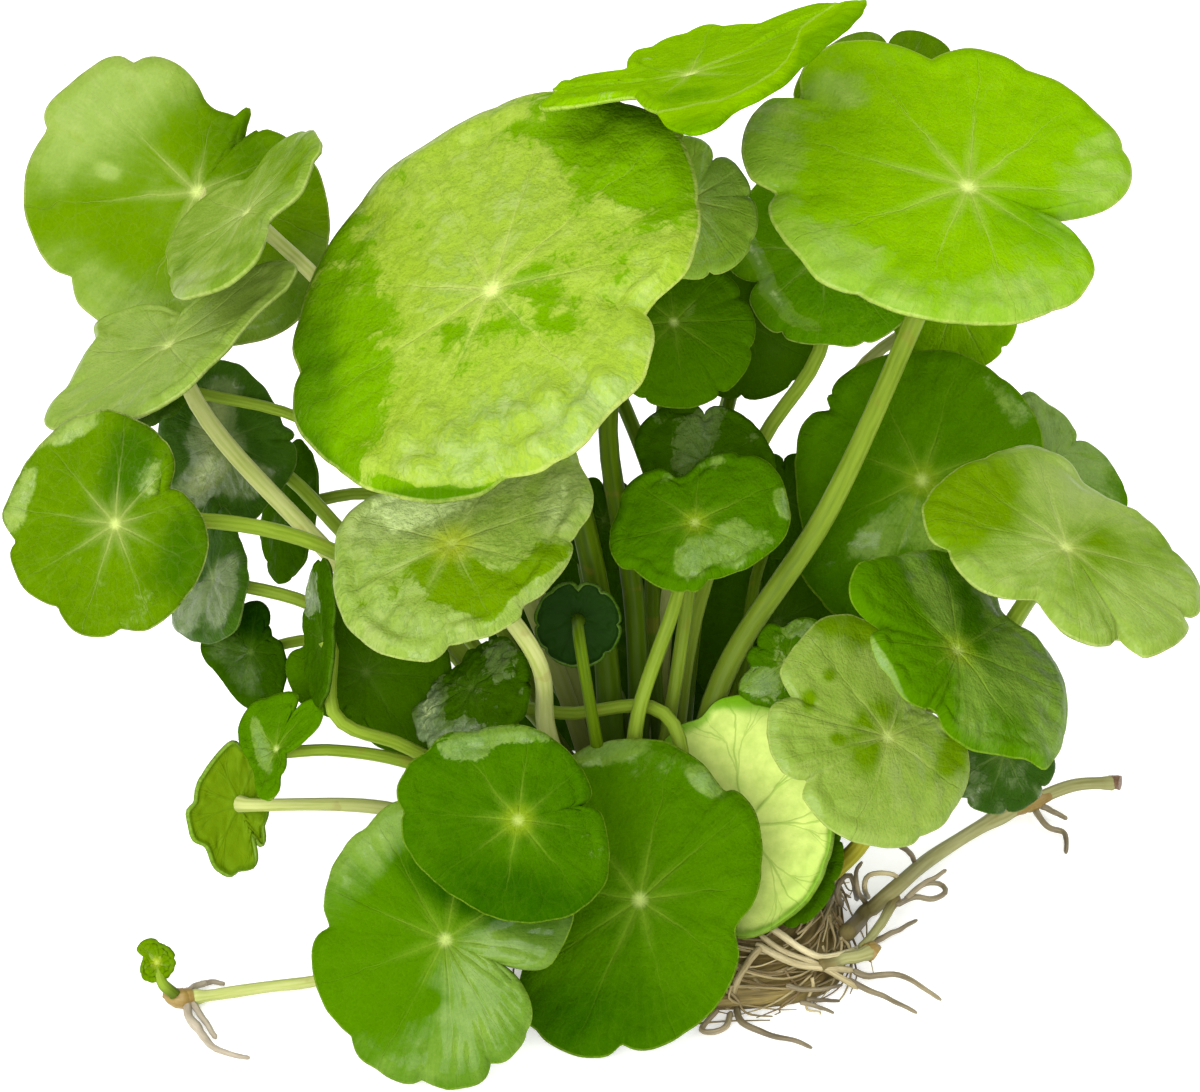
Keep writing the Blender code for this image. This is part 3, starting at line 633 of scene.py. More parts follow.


# Sheen spots paint a pale reflection and gloom spots paint shade on the blades; lifts raise them.
LEAVES = (
    Leaf("leaf_crown_large", at(492, 290, -20), 20.6, (-0.46, 0.54), Tone.SUNLIT, Stem.DARK, notch_at=-6,
        notch=0.05, cup=-0.1, via=(at(560, 440, -6), at(602, 620, -2)),
        marks=(700, 210, 698, 240, 685, 275, 658, 300, 653, 350, 640, 385, 612, 412, 590, 440, 545, 470,
        503, 485, 480, 497, 445, 502, 345, 476, 315, 450, 300, 430, 294, 390, 298, 368, 294, 350, 303, 310,
        315, 275, 345, 225, 375, 185, 420, 150, 460, 125, 510, 102, 555, 93, 605, 99, 650, 112, 680, 138,
        692, 165), lobes=9, under=Under.PALE, notch_width=0.05, painted_sheen=0.3, crisp=0.7, wave=0.02, roll=0.25,
        lifts=(Spot(412, 452, 1.2, 0.8, 1.3, 60), Spot(440, 428, 1.1, 0.7),
        Spot(462, 456, 1.3, 0.9, 1.3, 80), Spot(498, 440, 1.2, 0.8, 1.4, 60), Spot(530, 428, 1.3, 0.9),
        Spot(560, 408, 1.1, 0.8, 1.3, 30), Spot(585, 422, 1.1, 0.9), Spot(545, 455, 0.9, 0.7, 1.6, -10),
        Spot(610, 390, 1.1, 0.8), Spot(430, 478, 0.9, 0.7, 1.8)), cuts=(Cut(503, 487, 0.03),
        Cut(297, 369, 0.02)),
        sheen=(Spot(335, 390, 5, -1.1, 2.2, 80), Spot(640, 145, 5.5, -1.1, 1.7, -30),
        Spot(530, 277, 2.4, -0.5, 1.2), Spot(520, 316, 2.4, -0.45, 2.2, 10),
        Spot(452, 334, 1.2, -0.6, 1.6), Spot(452, 190, 1.8, -0.5), Spot(340, 250, 2, -0.4, 2, 60),
        Spot(470, 240, 6, 0.5, 1.4, 70), Spot(500, 440, 6, 0.65, 2, 10), Spot(620, 380, 4, 0.5, 2, 60),
        Spot(450, 499, 1.1, -2.4, 5.5), Spot(395, 487, 0.8, -2, 2.4, -18),
        Spot(500, 486, 0.7, -1.6, 2, 15), Spot(330, 465, 1.4, -1, 2.4, -45)),
        gloom=(Spot(312, 390, 2.5, 0.8, 3.5, 85), Spot(620, 112, 2.2, 0.35, 3, -10),
        Spot(448, 499, 1.2, 1.5, 5.5), Spot(320, 462, 1.5, 0.8, 3, -45), Spot(470, 425, 3, 0.2, 2, 20))),
    Leaf("leaf_crown_right", at(968, 187, -8), 17.6, (0.14, 0.66), notch_at=-16, notch=0.42, cup=-0.06,
        via=(at(915, 318, -3), at(830, 506, -4), at(715, 697, -1)),
        marks=(1131, 180, 1112, 207, 1082, 222, 1082, 236, 1094, 270, 1080, 297, 1058, 313, 1022, 322,
        975, 326, 930, 320, 835, 290, 812, 275, 778, 232, 768, 210, 769, 195, 748, 178, 743, 150, 748, 122,
        770, 100, 797, 92, 800, 76, 812, 58, 830, 47, 895, 46, 930, 56, 968, 50, 1000, 56, 1045, 78,
        1085, 103, 1120, 143), lobes=9, painted_sheen=-0.4, dark=0.1, crisp=0.35, roll=0.15, cuts=(Cut(799, 92, 0.05),
        Cut(770, 193, 0.04), Cut(930, 56, 0.04), Cut(856, 296, 0.05), Cut(1058, 313, 0.03)),
        sheen=(Spot(770, 160, 4, 0.8, 1.3, 70), Spot(835, 92, 1.6, 0.9, 2),
        Spot(830, 262, 4, 1, 1.7, -35), Spot(1095, 180, 4, 0.6, 2, 70), Spot(1000, 308, 3, 0.8, 3.2),
        Spot(900, 180, 6, -0.5, 1.6, 10), Spot(1010, 130, 5, -0.4, 1.6, -30)),
        gloom=(Spot(1050, 225, 3, 0.4, 2, -10),)),
    Leaf("leaf_crown_top", at(690, 74, -17), 15.2, (-0.24, 0.93), Tone.FRESH, Stem.DARK, notch_at=16,
        notch=0, cup=0.03, via=(at(677, 125, -16), at(648, 240, -13), at(608, 425, -3),
        at(634, 600, -1)),
        marks=(703, 29, 735, 30, 770, 23, 800, 24, 838, 6, 857, 3, 864, 9, 856, 20, 842, 33, 826, 45, 800, 68,
        780, 87, 760, 99, 735, 112, 714, 128, 695, 134, 675, 130, 655, 113, 616, 100, 600, 103, 554, 97,
        553, 92, 566, 85, 600, 85, 610, 76, 640, 53, 678, 39), painted_sheen=-1.2, crisp=0.8, dark=0.05,
        turned=(616, 103, 640, 108, 660, 112, 680, 109, 700, 104, 721, 101, 740, 93, 757, 84, 775, 73,
        788, 60, 798, 42, 802, 28, 838, 2, 870, -10), wave=0, pillow=0.01,
        sheen=(Spot(590, 95, 1.4, 0.9, 2.5), Spot(640, 62, 2, 0.7, 2, 25), Spot(730, 50, 1.2, 0.7, 3, 30)),
        gloom=(Spot(690, 96, 0.6, 0.5, 5, 8),)),
    Leaf("leaf_crown_back", at(890, 106, 13), 9.5, (0, 0.35), Tone.SOFT, via=(at(730, 395, 17),
        at(702, 560, 13)), dark=0.4, painted_sheen=-0.3),
    Leaf("leaf_crown_mid", at(690, 200, -6), 7, (0.3, 0.3), Tone.FRESH, Stem.PALE, notch_at=60,
        via=(at(694, 250, 4), at(690, 395, 7), at(668, 600, 9)), crisp=0.2, wrinkle=0.8, painted_sheen=0.5, dark=-0.5,
        sheen=(Spot(715, 190, 3, 0.5, 1.6, 70),)),
    Leaf("leaf_crown_shade", at(828, 250, 5), 9.6, (-0.35, 0.25), notch_at=200, cup=-0.1,
        via=(at(820, 350, 6), at(765, 435, 5), at(694, 620, 3)),
        margin=(8.8, 8.8, 9, 9.6, 9.8, 9.7, 8.8, 9.2, 8.8, 9.6, 8.9, 8.8), painted_sheen=-0.8, crisp=0.8, dark=0.75,
        roll=0.05, wrinkle=0.6,
        sheen=(Spot(756, 255, 0.8, 2.6, 4, -62), Spot(778, 300, 0.8, 2.6, 2, -40),
        Spot(804, 322, 0.7, 2, 3, -18))),
    Leaf("leaf_neck_front", at(674, 322, -3), 7.4, (0.15, 0.25), Tone.SHADED, Stem.DARK, notch_at=120,
        cup=-0.15, via=(at(664, 400, 2), at(652, 600, 6)), painted_sheen=-0.6, dark=-0.3, wrinkle=0.6,
        sheen=(Spot(690, 310, 0.6, 0.8, 2, 60),)),
    Leaf("leaf_neck_back", at(745, 322, 11), 7, (0, 0.3), Tone.DEEP_SHADE, Stem.DARK, notch_at=80,
        via=(at(716, 470, 9), at(692, 640, 8)), dark=-0.1, painted_sheen=-0.6, crisp=0.1, wrinkle=0.6),
    Leaf("leaf_backlit", at(955, 302, 16), 6.2, (0.1, 0.2), Tone.FRESH, Stem.PALE, dark=0.3, painted_sheen=-0.8,
        crisp=0.1, wrinkle=0.6, via=(at(868, 360, 18), at(800, 560, 21), at(770, 690, 18))),
    Leaf("leaf_left_high", at(197, 192, 13), 14.2, (-0.15, 0.15), Tone.SOFT, Stem.PALE, notch_at=49,
        notch=0.08, notch_width=0.05, via=(at(325, 262, 14), at(440, 400, 11), at(520, 560, 8)),
        marks=(328, 205, 328, 245, 320, 280, 290, 328, 262, 340, 235, 345, 190, 345, 140, 335, 98, 320,
        80, 305, 66, 278, 52, 268, 38, 248, 28, 220, 25, 185, 30, 160, 42, 133, 42, 118, 58, 95, 82, 75,
        120, 56, 132, 61, 143, 58, 180, 67, 198, 88, 204, 101, 222, 113, 236, 118, 248, 108, 250, 113,
        246, 126, 248, 138, 260, 128, 275, 133, 302, 151, 312, 162), painted_sheen=-0.1, crisp=0.03,
        cuts=(Cut(42, 126, 0.04), Cut(66, 278, 0.04), Cut(132, 61, 0.02)),
        sheen=(Spot(95, 100, 4.5, 0.5, 1.3, 45), Spot(58, 140, 4, 0.4, 1.6, 80),
        Spot(150, 85, 4.5, 0.4, 1.6, 10), Spot(215, 130, 3, 0.3), Spot(108, 172, 0.7, 1, 1.6, -20),
        Spot(250, 165, 6, -1, 1.6, -30), Spot(90, 235, 5.5, -0.6, 2, -10),
        Spot(95, 290, 4, 0.5, 1.6, -40)), gloom=(Spot(255, 150, 5, 0.4, 1.6, -35),
        Spot(300, 290, 4, 0.5, 1.6, 70))),
    Leaf("leaf_left_narrow", at(246, 212, -8), 9.6, (-0.66, 0.66), Tone.SOFT, Stem.PALE, notch_at=40,
        notch=0, cup=0, via=(at(322, 284, 1), at(450, 450, 1)),
        marks=(321, 152, 314, 161, 300, 195, 270, 222, 266, 240, 257, 260, 240, 277, 200, 296, 183, 300,
        172, 284, 169, 265, 173, 240, 185, 218, 205, 200, 228, 187, 250, 180, 275, 150, 292, 137, 310, 132,
        320, 140), painted_sheen=0.15, crisp=0.15, dark=-0.5, wrinkle=0.8,
        sheen=(Spot(290, 160, 2.5, -0.4), Spot(190, 282, 0.8, 1.2, 3, 25)),
        gloom=(Spot(178, 288, 1.2, 0.8, 3, 70),)),
    Leaf("leaf_left_long", at(168, 345, -5), 13.4, (-0.5, 0.72), Tone.SOFT, Stem.PALE, notch_at=25, notch=0,
        cup=0, via=(at(195, 400, -1), at(335, 560, -1), at(440, 680, -3)),
        marks=(296, 267, 262, 310, 215, 362, 180, 395, 160, 408, 145, 415, 110, 424, 75, 429, 47, 426,
        55, 401, 70, 385, 96, 342, 99, 322, 120, 313, 193, 309, 230, 281, 255, 268, 280, 262), painted_sheen=0.4,
        crisp=0.15, dark=-0.5, wrinkle=0.8, gloom=(Spot(157, 345, 0.7, 0.9, 4, 42),)),
    Leaf("leaf_left_round", at(115, 524, -17), 9.4, (-0.2, 0.05), Tone.SOFT, notch_at=35, notch=0.06,
        notch_width=0.04, via=(at(195, 520, -12), at(320, 545, -8), at(430, 620, -4)),
        marks=(208, 545, 185, 598, 150, 628, 120, 631, 108, 636, 75, 630, 56, 608, 25, 588, 11, 555, 13, 541,
        4, 516, 8, 503, 48, 438, 70, 420, 100, 411, 135, 420, 174, 465, 170, 484, 184, 495), roll=0.2,
        lobes=9, painted_sheen=-0.5, crisp=0.6, glow=0.2, dark=0.25, cuts=(Cut(158, 446, 0.03), Cut(120, 631, 0.03),
        Cut(56, 608, 0.04), Cut(12, 543, 0.04)),
        sheen=(Spot(148, 478, 1.8, 0.4, 1.7, -60), Spot(78, 424, 1.3, 1, 3, 30),
        Spot(22, 500, 1, 0.9, 3.4, 65), Spot(150, 610, 2, 0.3, 2)),
        gloom=(Spot(128, 465, 2.4, 0.8, 1.8, 70), Spot(185, 550, 2.4, 0.5, 2, 70))),
    Leaf("leaf_left_shade", at(225, 440, 9), 8, (-0.3, 0.1), Tone.WET, notch_at=0,
        marks=(302, 438, 298, 458, 272, 500, 254, 520, 220, 522, 180, 505, 165, 470, 160, 430, 172, 390,
        195, 365, 222, 361, 240, 366, 258, 382, 272, 400, 283, 425), via=(at(280, 470, 11), at(340, 530, 9)),
        dark=0.3, painted_sheen=-0.5, crisp=0.4,
        sheen=(Spot(214, 420, 1.8, 2.2, 1.8, 70), Spot(212, 470, 1.6, 2.2, 2.4, 50),
        Spot(250, 480, 1.6, 1.2, 1.6, 20))),
    Leaf("leaf_left_hang", at(212, 580, 0), 6.8, (-0.75, 0.2), Tone.WET,
        marks=(246, 595, 238, 628, 222, 640, 203, 642, 188, 637, 174, 614, 196, 585, 203, 525, 213, 495,
        229, 510, 240, 540), via=(at(300, 600, 1), at(430, 685, 3)), dark=0.3, painted_sheen=-0.5, crisp=0.4,
        sheen=(Spot(224, 588, 1.6, 1.1, 2.2, 75), Spot(192, 606, 1.3, 1, 2.2, 60))),
    Leaf("leaf_left_low", at(250, 652, 2), 5, (-0.3, 0.1), Tone.DEEP_SHADE, notch_at=60,
        marks=(286, 660, 284, 685, 278, 703, 262, 709, 250, 708, 235, 695, 220, 675, 203, 642, 238, 628,
        240, 613, 245, 605, 255, 602, 266, 606, 271, 620, 271, 635, 282, 645), via=(at(310, 640, 5),
        at(430, 712, 6)), dark=0.3, painted_sheen=-0.5,
        sheen=(Spot(236, 658, 2, 0.6, 1.8, -50),), gloom=(Spot(256, 618, 2, 0.6),)),
    Leaf("leaf_left_edge", at(282, 505, 19), 7, (-0.9, 0.1), Tone.DEEP_SHADE, via=(at(378, 495, 18),
        at(470, 640, 15)), dark=0.2, painted_sheen=-0.4),
    Leaf("leaf_left_broad", at(366, 672, -9), 8.2, (0.1, 0), Tone.DEEP_SHADE, notch_at=240, foot=(-7.4, -13.5),
        marks=(452, 690, 448, 735, 425, 753, 395, 751, 371, 739, 364, 727, 350, 728, 335, 722, 320, 711,
        313, 710, 298, 698, 289, 682, 287, 666, 291, 654, 303, 648, 312, 625, 340, 600, 400, 598, 440, 635),
        dark=-0.1, painted_sheen=-0.6, cuts=(Cut(364, 727, 0.03),)),
    Leaf("leaf_left_sliver", at(321, 640, -16), 6.5, (-0.96, 0.05), Tone.DEEP_SHADE, cup=0,
        margin=(7.8, 2.4, 1.4, 1.2, 1.4, 2.4, 6.2, 2.4, 1.5, 1.3, 1.5, 2.6), via=(at(335, 715, -16),
        at(400, 744, -13)), dark=0.2, painted_sheen=-0.5, crisp=0.9,
        sheen=(Spot(309, 590, 0.8, 2.2, 3, -78),)),
    Leaf("leaf_trail_under", at(238, 803, -4), 6.8, (-0.45, 0.1), Tone.SHADED, Stem.PALE, side=-1,
        via=(at(395, 810, -4),), foot=(-8, -16.5),
        marks=(270, 798, 264, 826, 253, 835, 259, 845, 257, 860, 249, 870, 240, 871, 232, 876, 220, 872,
        205, 846, 195, 841, 189, 825, 188, 811, 195, 802, 198, 785, 208, 768, 222, 750, 240, 735, 262, 770)),
    Leaf("leaf_trail_wet", at(275, 748, -14), 5.4, (-0.6, 0.4), Tone.SHADED, notch_at=60, cup=0,
        via=(at(330, 750, -12), at(425, 768, -10)), foot=(-6.5, -19.5),
        marks=(300, 695, 312, 700, 303, 705, 294, 716, 288, 728, 282, 739, 286, 755, 284, 772, 280, 778,
        279, 792, 271, 800, 264, 800, 257, 781, 252, 765, 245, 752, 241, 742, 240, 728, 246, 714, 258, 702,
        274, 697), dark=-0.2, painted_sheen=-0.7, crisp=0.6,
        sheen=(Spot(262, 745, 0.7, 1.9, 4, -75),)),
    Leaf("leaf_left_veiled", at(150, 380, 5), 4.5, (-0.3, 0.5), Tone.DEEP_SHADE, notch_at=60, via=(at(197, 393, 7),
        at(300, 418, 6), at(430, 530, 3))),
    Leaf("leaf_mid_left", at(452, 543, -22), 11.8, (-0.2, 0.58), Tone.SOFT, Stem.PALE, notch_at=5, notch=0.05,
        cup=-0.12, notch_width=0.05, via=(at(535, 655, -18), at(548, 735, -8)), foot=(-1, -18.8),
        marks=(590, 515, 578, 532, 567, 565, 541, 595, 522, 608, 518, 620, 485, 638, 450, 647, 440, 657,
        425, 663, 385, 655, 360, 640, 340, 610, 336, 560, 340, 530, 360, 505, 380, 497, 405, 480, 450, 464,
        552, 441, 575, 452, 583, 470), painted_sheen=0.45, crisp=0.75, glow=1, roll=0.3, dark=-0.3,
        cuts=(Cut(446, 650, 0.03),),
        sheen=(Spot(472, 590, 2.6, -1.3, 2.2, -25), Spot(540, 572, 2, -1.2, 2, 60),
        Spot(400, 518, 3, 1, 1.6, 20), Spot(535, 592, 1, 1.8, 4, 38), Spot(445, 486, 3, 2, 2.6, 18),
        Spot(560, 500, 2, 1.4, 2, 70), Spot(430, 635, 3.5, 0.3, 1.8, -10)),
        lifts=(Spot(385, 600, 1.3, 0.4), Spot(420, 622, 1.2, 0.4, 1.4), Spot(462, 628, 1.2, 0.4, 1.4, 10),
        Spot(505, 602, 1.3, 0.5, 1.4, 30), Spot(545, 575, 1.3, 0.6, 1.6, 50), Spot(365, 560, 1.2, 0.4))),
    Leaf("leaf_mid_folded", at(470, 687, -13.5), 6.1, (-0.5, 0.5), Tone.DEEP_SHADE, notch_at=45, fold=-40,
        via=(at(560, 713, -5), at(668, 717, -7), at(684, 790, -9)), foot=(6.5, -24), painted_sheen=-0.3, crisp=1,
        dark=-0.1, roll=0.25, wrinkle=4,
        sheen=(Spot(430, 712, 1.2, 2.2, 2.6, 80), Spot(456, 735, 1.2, 2, 2, 20),
        Spot(500, 655, 1.2, 0.8, 2, 40))),
    Leaf("leaf_mid_back", at(705, 460, -5), 6.3, (0, 0.5), Tone.DEEP_SHADE, via=(at(682, 640, -2),),
        marks=(774, 478, 762, 500, 725, 515, 685, 510, 656, 492, 643, 468, 637, 437, 658, 412, 675, 405,
        690, 403, 710, 405, 748, 421, 762, 437, 772, 455), painted_sheen=-0.5, crisp=0.9, dark=-0.2, roll=0.25,
        sheen=(Spot(694, 440, 1.8, 1.6, 2, 60),)),
    Leaf("leaf_mid_front", at(695, 522, -14), 7.8, (0, 0.45), Tone.SHADED, notch_at=-98, notch=0.06,
        notch_width=0.06, via=(at(676, 600, -9), at(636, 725, -8)),
        marks=(788, 510, 788, 530, 778, 545, 722, 577, 707, 580, 700, 589, 686, 593, 668, 590, 635, 570,
        621, 567, 620, 507, 626, 490, 638, 478, 650, 473, 662, 471, 673, 477, 716, 456, 735, 453, 752, 456,
        765, 462), painted_sheen=-0.7, crisp=0.6, glow=0.6, roll=0.2, cuts=(Cut(736, 462, 0.06), Cut(673, 477, 0.04)),
        sheen=(Spot(690, 560, 1.6, 1.7, 1.3, 60), Spot(735, 546, 2.2, 1.1, 1.6, 10),
        Spot(784, 507, 0.8, 2, 2, -70), Spot(715, 462, 0.8, 0.9, 3, 12), Spot(665, 478, 0.8, 0.8, 1.6))),
    Leaf("leaf_mid_small", at(578, 620, -9), 3.9, (0, 0.1), Tone.DEEP_SHADE, Stem.DARK, side=-1,
        under=Under.DARK),
    Leaf("leaf_mid_shade", at(604, 520, 2), 4.4, (0.3, 0.1), Tone.DEEP_SHADE, Stem.DARK, dark=0.3, painted_sheen=-0.5),
    Leaf("leaf_heart_dark", at(778, 622, 14), 7.8, (0.1, 0.2), Tone.DEEP_SHADE, Stem.DARK, via=(at(752, 705, 12),),
        dark=0.1, painted_sheen=-0.8,
        marks=(866, 640, 840, 690, 790, 715, 730, 708, 690, 670, 680, 615, 694, 565, 730, 540, 770, 535,
        820, 545, 858, 585)),
    Leaf("leaf_heart_back", at(785, 500, 12), 5.2, (0.1, 0.2), Tone.DEEP_SHADE, Stem.DARK, via=(at(758, 570, 10),
        at(738, 690, 8)), dark=0.2, painted_sheen=-0.8),
    Leaf("leaf_right_broad", at(922, 480, 4), 12.6, (0.05, 0.1), Tone.SHADED, notch_at=135, notch=0.04,
        notch_width=0.04, via=(at(850, 620, 7), at(770, 720, 5)),
        marks=(1044, 485, 1032, 530, 1012, 570, 985, 602, 945, 625, 895, 637, 850, 625, 815, 595, 797, 561,
        803, 530, 796, 478, 796, 455, 801, 430, 812, 415, 830, 406, 826, 396, 836, 383, 855, 368, 885, 356,
        920, 351, 950, 352, 1002, 379, 1034, 415, 1042, 445), painted_sheen=-0.6, crisp=0.5, glow=0.5,
        sheen=(Spot(885, 535, 2.4, 0.8, 1.8, 50), Spot(928, 545, 2, 0.8, 1.6, 80),
        Spot(850, 550, 2, 0.3, 2, 30), Spot(1012, 408, 1.4, 0.7, 3, -55)),
        gloom=(Spot(840, 600, 5, 0.4, 2, -20),)),
    Leaf("leaf_right_back", at(1050, 465, 14), 8, (0.4, 0.3), Tone.SHADED, notch_at=40,
        via=(at(950, 600, 13),),
        marks=(1020, 397, 1030, 393, 1042, 401, 1085, 440, 1110, 465, 1121, 484, 1126, 505, 1114, 530,
        1080, 548, 1030, 548, 985, 520, 970, 470, 985, 425), painted_sheen=-0.2,
        sheen=(Spot(1060, 440, 2.6, 0.8, 2.2, -50),)),
    Leaf("leaf_right_high", at(1066, 547, -24), 13.4, (0.37, 0.72), Tone.SOFT, notch_at=-60, notch=0.02,
        notch_width=0.04, via=(at(1028, 599, -16), at(1002, 638, -9), at(955, 690, 0), at(860, 738, 5)),
        marks=(1200, 606, 1196, 619, 1187, 619, 1187, 631, 1180, 641, 1148, 658, 1132, 652, 1122, 643,
        1110, 647, 1090, 645, 1062, 632, 1035, 601, 1005, 599, 950, 560, 946, 550, 935, 545, 925, 530,
        922, 515, 926, 500, 942, 482, 970, 464, 1000, 453, 1045, 451, 1066, 464, 1090, 490, 1122, 509,
        1140, 516, 1160, 535, 1174, 555, 1186, 566), painted_sheen=0.1, crisp=0.05, glow=0.3, dark=-0.3,
        cuts=(Cut(1122, 643, 0.04), Cut(1187, 619, 0.04), Cut(946, 551, 0.02)),
        sheen=(Spot(975, 508, 4.5, -1.3, 1.8, -10), Spot(1035, 520, 4, 0.9, 1.6, 40),
        Spot(1150, 600, 6, 0.35), Spot(1120, 548, 3.2, -0.6, 1.8, -15),
        Spot(1096, 500, 2.4, 0.7, 2.2, -40))),
    Leaf("leaf_right_mid", at(958, 650, -24), 12.2, (0.5, 0.55), Tone.SHADED, notch_at=-120, notch=0.02,
        notch_width=0.04, via=(at(950, 665, -6), at(890, 735, -3)),
        marks=(900, 556, 940, 553, 975, 570, 992, 590, 1000, 612, 1022, 631, 1040, 645, 1055, 665, 1064, 690,
        1066, 712, 1062, 738, 1052, 762, 1043, 770, 1034, 764, 1010, 758, 960, 744, 946, 733, 937, 716,
        930, 710, 905, 700, 888, 676, 874, 655, 870, 640, 875, 627, 860, 615, 850, 580, 858, 566, 875, 560),
        painted_sheen=-0.5, glow=0.6, roll=0.12, dark=-0.2, cuts=(Cut(936, 713, 0.04), Cut(875, 627, 0.04)),
        sheen=(Spot(925, 592, 2.2, 0.9, 2.6, -65), Spot(985, 585, 1.6, 0.9, 2.5, -50),
        Spot(1035, 690, 3.6, 1, 2.2, -65), Spot(970, 700, 2.4, 0.7, 2.4, -70),
        Spot(882, 665, 0.8, 2.2, 5, -58), Spot(905, 640, 3, -0.8, 2.2, -60)),
        gloom=(Spot(975, 610, 3, 0.6, 1.8, -50), Spot(905, 620, 3, -0.5, 2.6, -60))),
    Leaf("leaf_right_front", at(888, 737, -14), 11, (0.42, 0.3), Tone.SOFT, Stem.OLIVE, notch_at=175,
        notch=0, via=(at(862, 842, -5.5),), foot=(19, -23.2),
        marks=(968, 768, 950, 813, 940, 826, 930, 832, 900, 847, 880, 847, 845, 838, 830, 830, 815, 815,
        803, 800, 803, 781, 790, 778, 777, 764, 769, 748, 767, 727, 771, 708, 785, 696, 780, 670, 789, 655,
        830, 617, 847, 615, 860, 619, 905, 695, 935, 718, 966, 750), painted_sheen=0.4, crisp=0.2, glow=0.4,
        dark=-0.2, cuts=(Cut(803, 781, 0.03), Cut(785, 695, 0.06), Cut(921, 835, 0.03)),
        sheen=(Spot(874, 732, 2, -1.3, 1.6, 80), Spot(956, 748, 1.6, -1, 2.2, 60),
        Spot(850, 630, 1.8, -1, 2.4, -12), Spot(828, 676, 0.7, -1), Spot(808, 700, 0.8, -1, 1.6, 80),
        Spot(838, 740, 0.6, -0.9, 1.6, -30), Spot(893, 772, 1, 0.8, 4, -80))),
    Leaf("leaf_right_low", at(1005, 752, -4), 5.6, (0.3, 0.1), Tone.WET, notch_at=0, via=(at(930, 785, 0),),
        dark=0.5, painted_sheen=-0.2, crisp=0.5),
    Leaf("leaf_right_small", at(787, 662, -7), 4.8, (-0.1, 0.3), Tone.SHADED, notch_at=150,
        foot=(13.2, -18),
        marks=(838, 650, 824, 626, 812, 620, 796, 621, 783, 629, 772, 625, 757, 640, 748, 655, 751, 670,
        741, 682, 740, 692, 765, 706, 800, 705, 830, 690), painted_sheen=-0.3, crisp=0.9,
        sheen=(Spot(762, 682, 1.4, 1.7, 1.6), Spot(800, 628, 1, 0.8, 2))),
    Leaf("leaf_pale_under", at(745, 826, -6), 10.4, (0.35, -0.25), Tone.SHADED, side=-1, notch_at=180,
        notch=0, under=Under.PALE,
        marks=(833, 835, 828, 860, 815, 890, 800, 908, 765, 932, 748, 938, 735, 936, 712, 905, 698, 860,
        668, 800, 655, 760, 662, 742, 680, 725, 700, 718, 715, 702, 735, 695, 752, 695, 768, 703, 800, 722,
        820, 760), lobes=7, gloom=(Spot(735, 698, 1.4, 0.9, 3, -10), Spot(668, 735, 1.3, 0.7, 2.4, 40),
        Spot(800, 890, 2, 0.3, 3, 60), Spot(757, 790, 3, -0.4, 1.6, 60))),
    Leaf("leaf_under_right", at(790, 860, -7), 5.5, (-0.35, 0.25), Tone.DEEP_SHADE, notch_at=150, cup=0,
        foot=(14.2, -20.2), margin=(3, 4.5, 5.2, 4.9, 4.9, 5.6, 6.2, 4, 3, 3, 3, 3), painted_sheen=-0.6),
    Leaf("leaf_front_mid", at(640, 900, -15), 13.6, (-0.28, 0.2), Tone.SHADED, notch_at=150, notch=0,
        marks=(762, 855, 760, 880, 753, 903, 740, 920, 735, 932, 738, 950, 735, 972, 727, 990, 688, 1031,
        640, 1050, 621, 1049, 608, 1056, 590, 1057, 570, 1053, 548, 1042, 530, 1026, 520, 1000, 530, 950,
        545, 905, 555, 800, 571, 758, 602, 743, 622, 740, 660, 742, 685, 752, 700, 762, 727, 789, 736, 790,
        751, 805, 760, 830), lobes=9, painted_sheen=-0.8, crisp=0.5, cuts=(Cut(621, 1049, 0.03), Cut(727, 789, 0.03)),
        sheen=(Spot(600, 750, 1.4, 1.6, 3, 8), Spot(660, 770, 2.6, 0.5, 2.8, -25),
        Spot(706, 783, 1, 1.8, 2, -40)), gloom=(Spot(575, 960, 5, 0.2, 2, 70),
        Spot(600, 1025, 5, 0.5, 2))),
    Leaf("leaf_front_small", at(518, 820, -27), 9.6, (0, 0.2), Tone.SHADED, notch_at=14, notch=0.3,
        notch_width=0.06, via=(at(510, 834, -6),), foot=(0.5, -21.5),
        marks=(608, 862, 606, 880, 599, 892, 570, 915, 550, 920, 520, 922, 490, 915, 470, 905, 430, 876,
        415, 860, 404, 840, 402, 822, 405, 812, 399, 800, 399, 785, 405, 770, 430, 750, 440, 738, 455, 733,
        478, 733, 490, 728, 510, 726, 535, 730, 570, 755, 590, 788), painted_sheen=-0.8, crisp=0.9, glow=0.6,
        dark=0.3, roll=0.15,
        sheen=(Spot(466, 746, 1.5, 2.1, 1.8, 8), Spot(520, 735, 1.1, 1.2, 3.5, -5),
        Spot(590, 838, 1.2, 0.8, 2, -70)), gloom=(Spot(510, 900, 3.2, 0.35, 3, -5),)),
    Leaf("leaf_front_left", at(445, 940, -20), 12.6, (-0.1, 0.1), Tone.SHADED, notch_at=-23, notch=0.45,
        notch_width=0.06, via=(at(458, 925, -8),), foot=(-4, -22),
        marks=(575, 905, 560, 950, 550, 965, 524, 980, 532, 1015, 515, 1053, 505, 1062, 493, 1067, 486, 1078,
        475, 1085, 450, 1089, 421, 1083, 410, 1084, 395, 1080, 378, 1070, 360, 1056, 350, 1037, 325, 1005,
        318, 987, 313, 968, 313, 950, 318, 935, 326, 928, 324, 905, 329, 882, 357, 834, 367, 828, 386, 808,
        399, 801, 448, 800, 520, 815, 570, 860), lobes=9, painted_sheen=-0.2, crisp=0.15, dark=-0.1,
        cuts=(Cut(326, 928, 0.04), Cut(526, 1032, 0.03), Cut(492, 1067, 0.04), Cut(421, 1083, 0.03),
        Cut(350, 1037, 0.02)),
